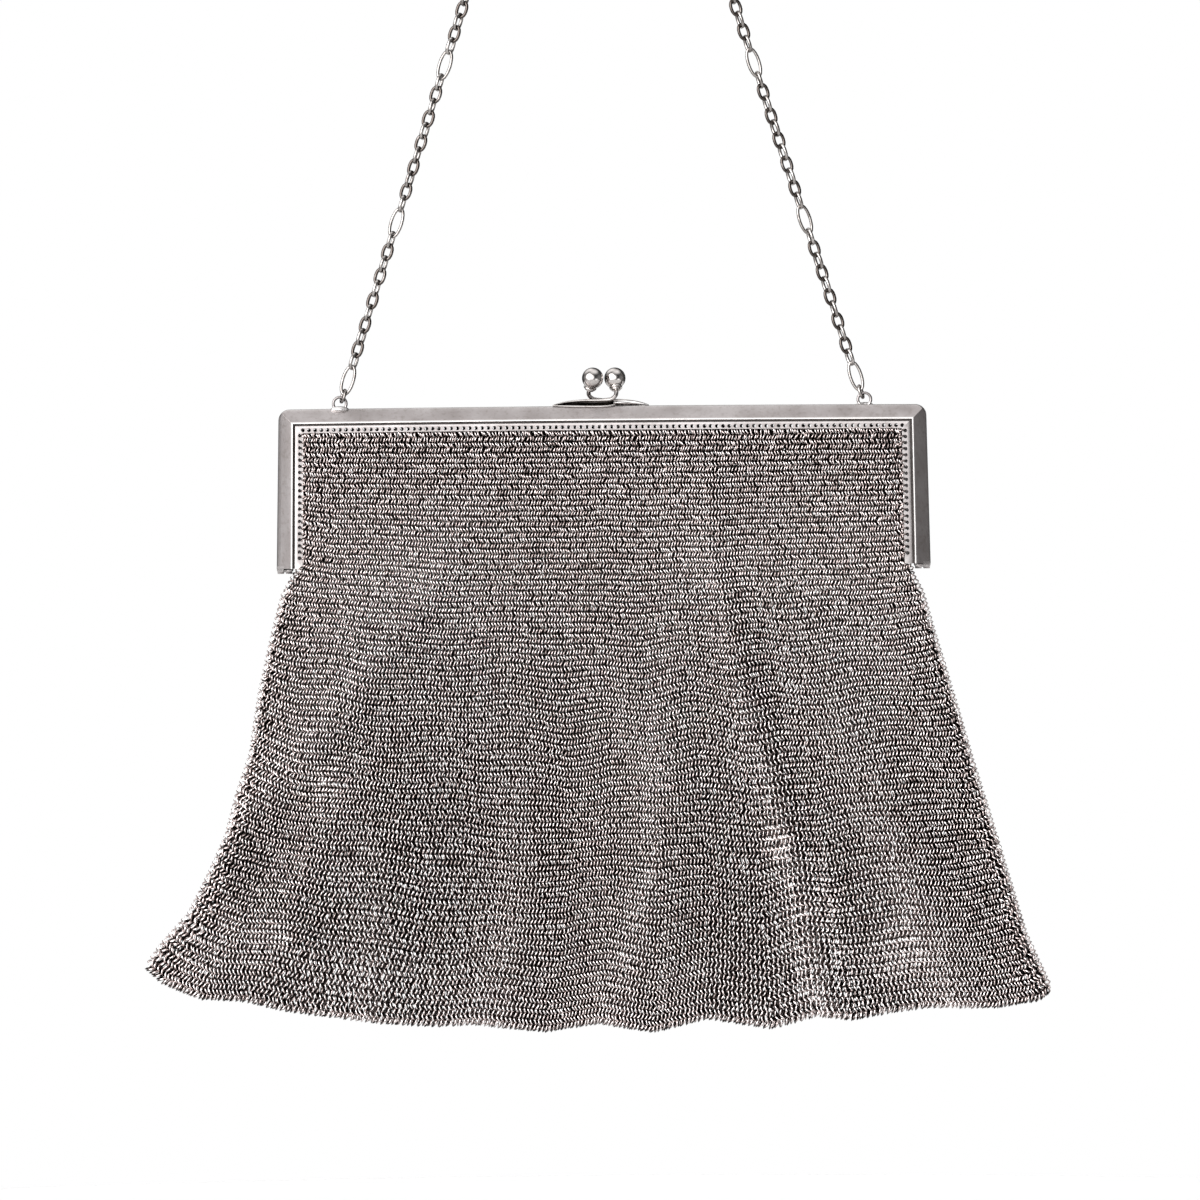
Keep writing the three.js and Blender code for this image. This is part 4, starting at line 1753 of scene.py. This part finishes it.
        side = np.where(row % 2 == 0, -1, 1)
        opened = np.clip(self.opening * pitch / (2 * self.ring_radius * MM), 0.3, 0.95)
        lean = np.arccos(opened) + shaken()
        lean = lean * (1 - 0.35 * self._opened(across, fall)) + self._streaks(across, chance, 8.0)
        nod = math.radians(self.nod) + shaken()
        nod += self._streaks(across, chance, 8.0)
        roll = math.radians(self.roll) * side + shaken()
        lean, nod, roll = lean[..., None], nod[..., None], roll[..., None]
        aside = along * side[..., None]
        upright = up * np.cos(nod) - out * np.sin(nod)
        facing = out * np.cos(nod) + up * np.sin(nod)
        near = facing * np.sin(lean) + aside * np.cos(lean)
        upright = upright * np.cos(roll) + along * np.sin(roll)
        near -= upright * (near * upright).sum(-1, keepdims=True)
        near /= np.linalg.norm(near, axis=-1, keepdims=True)
        bulk = np.clip(pitch / (0.95 * MM), 1.0, self.most_bulk)[..., None, None]
        return np.stack([near, upright, np.cross(near, upright)], -1) * bulk

    def _unrest(self, across: np.ndarray, row: np.ndarray) -> np.ndarray:
        """How much more the rings are disturbed at the frame, at the sides and where folds crease.

        Args:
            across: Shares of the way from the left edge to the right.
            row: Row numbers.

        Returns:
            A factor for each ring.
        """
        sides = np.exp(-np.minimum(across, 1 - across) * self.columns / 5)
        top = np.exp(-row / 2.5)
        creases = np.clip(np.abs(self.bag.flanks(across, row / self.rows)) - 0.5, 0, 1)
        return 1 + 1.4 * sides + 1.5 * top + 0.8 * creases

    def _opened(self, across: np.ndarray, fall: np.ndarray) -> np.ndarray:
        """How far the mesh is pulled open, from 0 to 1.

        Args:
            across: Shares of the way from the left edge to the right.
            fall: Shares of the way from the frame to the hem.

        Returns:
            A number for each ring.
        """
        total = np.zeros(across.shape)
        for patch in self.patches:
            aside, below = (across - patch.across) / patch.wide, (fall - patch.fall) / patch.high
            total = np.maximum(total, np.exp(-((aside**2 + below**2) ** 2)))
        return total

    def _streaks(
        self, across: np.ndarray, chance: np.random.Generator, degrees: float
    ) -> np.ndarray:
        """Slow waves along each row, different from row to row, in radians.

        Args:
            across: Shares of the way from the left edge to the right.
            chance: The source of the waves.
            degrees: Their usual size.

        Returns:
            An angle for each ring.
        """
        total = np.zeros(across.shape)
        for waves in (7, 15, 29, 43):
            phase = chance.uniform(0, 2 * math.pi, (across.shape[0], 1))
            size = np.clip(chance.normal(0, 0.45, (across.shape[0], 1)), -0.7, 0.7)
            total += size * np.sin(2 * math.pi * waves * across + phase)
        return total * math.radians(degrees)


class Seat(NamedTuple):
    """How a lacing ring sits in its hole: depth, overlap, tilt in degrees, and its dullness; near
    black for the hidden rings, as painted shade.
    """

    behind: float
    overlap: float
    tilt: float
    worn: float


@dataclass
class Lacing:
    """Rings that hang the mesh from the holes of one frame half's flange."""

    half: FrameHalf
    ring_radius: float = 1.0
    wire_radius: float = 0.22
    shown: Seat = Seat(0.35, 0.02, 24.0, 0.75)
    # Hidden rings sit behind the flange, near black: painted shade seen through the holes.
    hidden: Seat = Seat(1.45, 0.25, 0.0, 2.0)

    def build(self) -> bpy.types.Object:
        """Builds and dresses the lacing rings as one piece.

        Returns:
            The new piece.
        """
        bpy.ops.object.select_all(action="DESELECT")
        bpy.ops.mesh.primitive_torus_add(
            major_segments=8,
            minor_segments=4,
            major_radius=(self.ring_radius - self.wire_radius) * MM,
            minor_radius=self.wire_radius * MM,
        )
        points, faces = shape_of(settle(bpy.context.object, "lacing"))
        chance = np.random.default_rng(19)
        wall = self.half.wall.value
        places, turns, worn = [], [], []
        shape = self.half.shape
        for x, z, degrees in self.half.hole_places():
            inward = -math.copysign(1, degrees)
            down = Vector((inward, 0, 0)) if degrees else Vector((0, 0, -1))
            seat = self.shown if degrees else self.hidden
            depth = shape.flange_depth - seat.behind
            hang = Vector((0, wall, 0))
            tilt = Matrix.Rotation(math.radians(chance.normal(seat.tilt, 9)), 3, hang)
            axes = Matrix((down, hang, down.cross(hang))).transposed()
            middle = Vector((x, wall * depth, z)) + down * (self.ring_radius - seat.overlap)
            places.append(np.array(middle * MM))
            turns.append(np.array(tilt @ axes))
            worn.append(seat.worn)
        corners, sides = repeated(points, faces, np.array(places), np.array(turns))
        piece = face_out(from_arrays(f"lacing_{self.half.wall.name.lower()}", corners, sides))
        tone(piece, "worn", np.repeat(worn, len(points)))
        return dressed(piece, RING_FINISH, "ring_mesh")


# The studio


@dataclass(frozen=True)
class Glow:
    """A soft bright part of the room: where it is, how wide in degrees, and how bright."""

    way: tuple[float, float, float]
    core: float
    rim: float
    strength: float


@dataclass
class Studio:
    """The camera, the pale floor and the soft light that the purse is shown in."""

    shape: FrameShape
    mm_per_pixel: float = 0.234
    pixels: int = 1200
    frame_row: float = 406.0
    middle_column: float = 604.0
    distance: float = 1600.0
    elevation: float = 1.0
    roll: float = 0.5
    dimness: float = 0.07
    glows: tuple[Glow, ...] = (
        Glow((0.15, -0.15, 1.0), 14.0, 46.0, 1.58),
        Glow((-1.0, -0.1, 0.1), 10.0, 40.0, 0.42),
        Glow((-0.8, -0.85, 0.35), 12.0, 37.0, 8.6),
        Glow((-0.2, -1.0, 0.15), 10.0, 34.0, 3.2),
        Glow((1.0, -0.2, 0.0), 10.0, 40.0, 0.25),
        Glow((0.6, -0.7, -0.45), 8.0, 26.0, 2.6),
        Glow((-0.5, 0.45, 0.9), 14.0, 36.0, 1.6),
    )

    def build(self) -> None:
        """Sets up the camera, the floor, the lights and the surroundings."""
        self._camera()
        self._floor()
        self._surroundings()
        bpy.context.scene.view_settings.view_transform = "Standard"
        bpy.context.scene.view_settings.look = "None"

    def _camera(self) -> None:
        """Places the long lens level in front of the purse."""
        half = self.pixels / 2 * self.mm_per_pixel
        x = (self.pixels / 2 - self.middle_column) * self.mm_per_pixel
        z = self.shape.top - (self.pixels / 2 - self.frame_row) * self.mm_per_pixel
        rise = math.radians(self.elevation)
        target = Vector((x, 0, z)) * MM
        data = bpy.data.cameras.new("camera")
        camera = bpy.data.objects.new("camera", data)
        bpy.context.scene.collection.objects.link(camera)
        data.sensor_width = 36
        data.lens = 18 * self.distance / half
        data.clip_start = 0.05
        camera.location = target + Vector((0, -math.cos(rise), math.sin(rise))) * self.distance * MM
        level = (target - camera.location).to_track_quat("-Z", "Y").to_matrix()
        turned = level @ Matrix.Rotation(math.radians(-self.roll), 3, "Z")
        camera.rotation_euler = turned.to_euler()
        bpy.context.scene.camera = camera

    def _floor(self) -> None:
        """Models the round pale floor below the purse."""
        bpy.ops.object.select_all(action="DESELECT")
        bpy.ops.mesh.primitive_circle_add(
            vertices=96, radius=0.82, fill_type="NGON", location=(0, 0, -0.45)
        )
        floor = settle(bpy.context.object, "studio_floor")
        sheet = MetalSheet("pale studio floor")
        shade = sheet.blend(sheet.noise(3.0, 2.0), rgb(0.86, 0.86, 0.86), rgb(0.82, 0.82, 0.82))
        inputs = {"Base Color": shade, "Roughness": 0.8}
        surface = sheet.node("ShaderNodeBsdfPrincipled", {}, inputs)
        sheet.node("ShaderNodeOutputMaterial", {}, {"Surface": surface.outputs[0]})
        floor.data.materials.append(sheet.material)

    def _surroundings(self) -> None:
        """Lights the room with soft glows, and leaves it white where it is seen directly."""
        world = bpy.data.worlds.new("studio")
        bpy.context.scene.world = world
        world.use_nodes = True
        sheet = NodeSheet(world.node_tree)
        light: Any = self.dimness
        for glow in self.glows:
            nearness = sheet.toward(Vector(glow.way))
            edge, core = math.cos(math.radians(glow.rim)), math.cos(math.radians(glow.core))
            light = light + nearness.between(edge, core) ** 1.5 * glow.strength
        seen = Flow(sheet, sheet.node("ShaderNodeLightPath", {}, {}).outputs["Is Camera Ray"])
        shown = sheet.blend(seen, light, rgb(1.0, 1.0, 1.0))
        back = sheet.node("ShaderNodeBackground", {}, {"Color": shown})
        sheet.node("ShaderNodeOutputWorld", {}, {"Surface": back.outputs[0]})


# The purse


def dress_cad_nodes(names: Iterable[str], finish: Finish) -> None:
    """Gives CAD nodes that stay in view a proper finish.

    Args:
        names: The nodes' names.
        finish: Their finish.
    """
    for name in names:
        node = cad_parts[name]
        tone(node, "rubbed_sheen_and_shade", np.full(len(node.data.vertices), 0.4))
        node.data.materials.clear()
        node.data.materials.append(finish.material())
        LOG.info("%s: CAD node dressed in %s", name, finish.name)


def main() -> None:
    """Builds the studio and the purse, from the frame outwards."""
    logging.basicConfig(level=logging.INFO, format="%(name)s: %(message)s")
    shape = FrameShape()
    Studio(shape).build()
    halves = [FrameHalf(wall, shape) for wall in Wall]
    for half in halves:
        half.build()
        ClaspArm(half.wall, shape).build()
        Lacing(half).build()
    dress_cad_nodes(["hinge_pin_left", "hinge_pin_right"], FRAME_FINISH)
    ChainHandle(shape).build()
    bag = BagShape(shape)
    coarse = {"ring_radius": 1.0, "wire_radius": 0.25, "seed": 23}
    RingMesh(Wall.FRONT, bag, rows=112, columns=208, bands=4).build()
    RingMesh(Wall.BACK, bag, rows=92, columns=146, bands=2, **coarse).build()
    EdgeRings(bag).build()


if __name__ == "__main__":
    main()
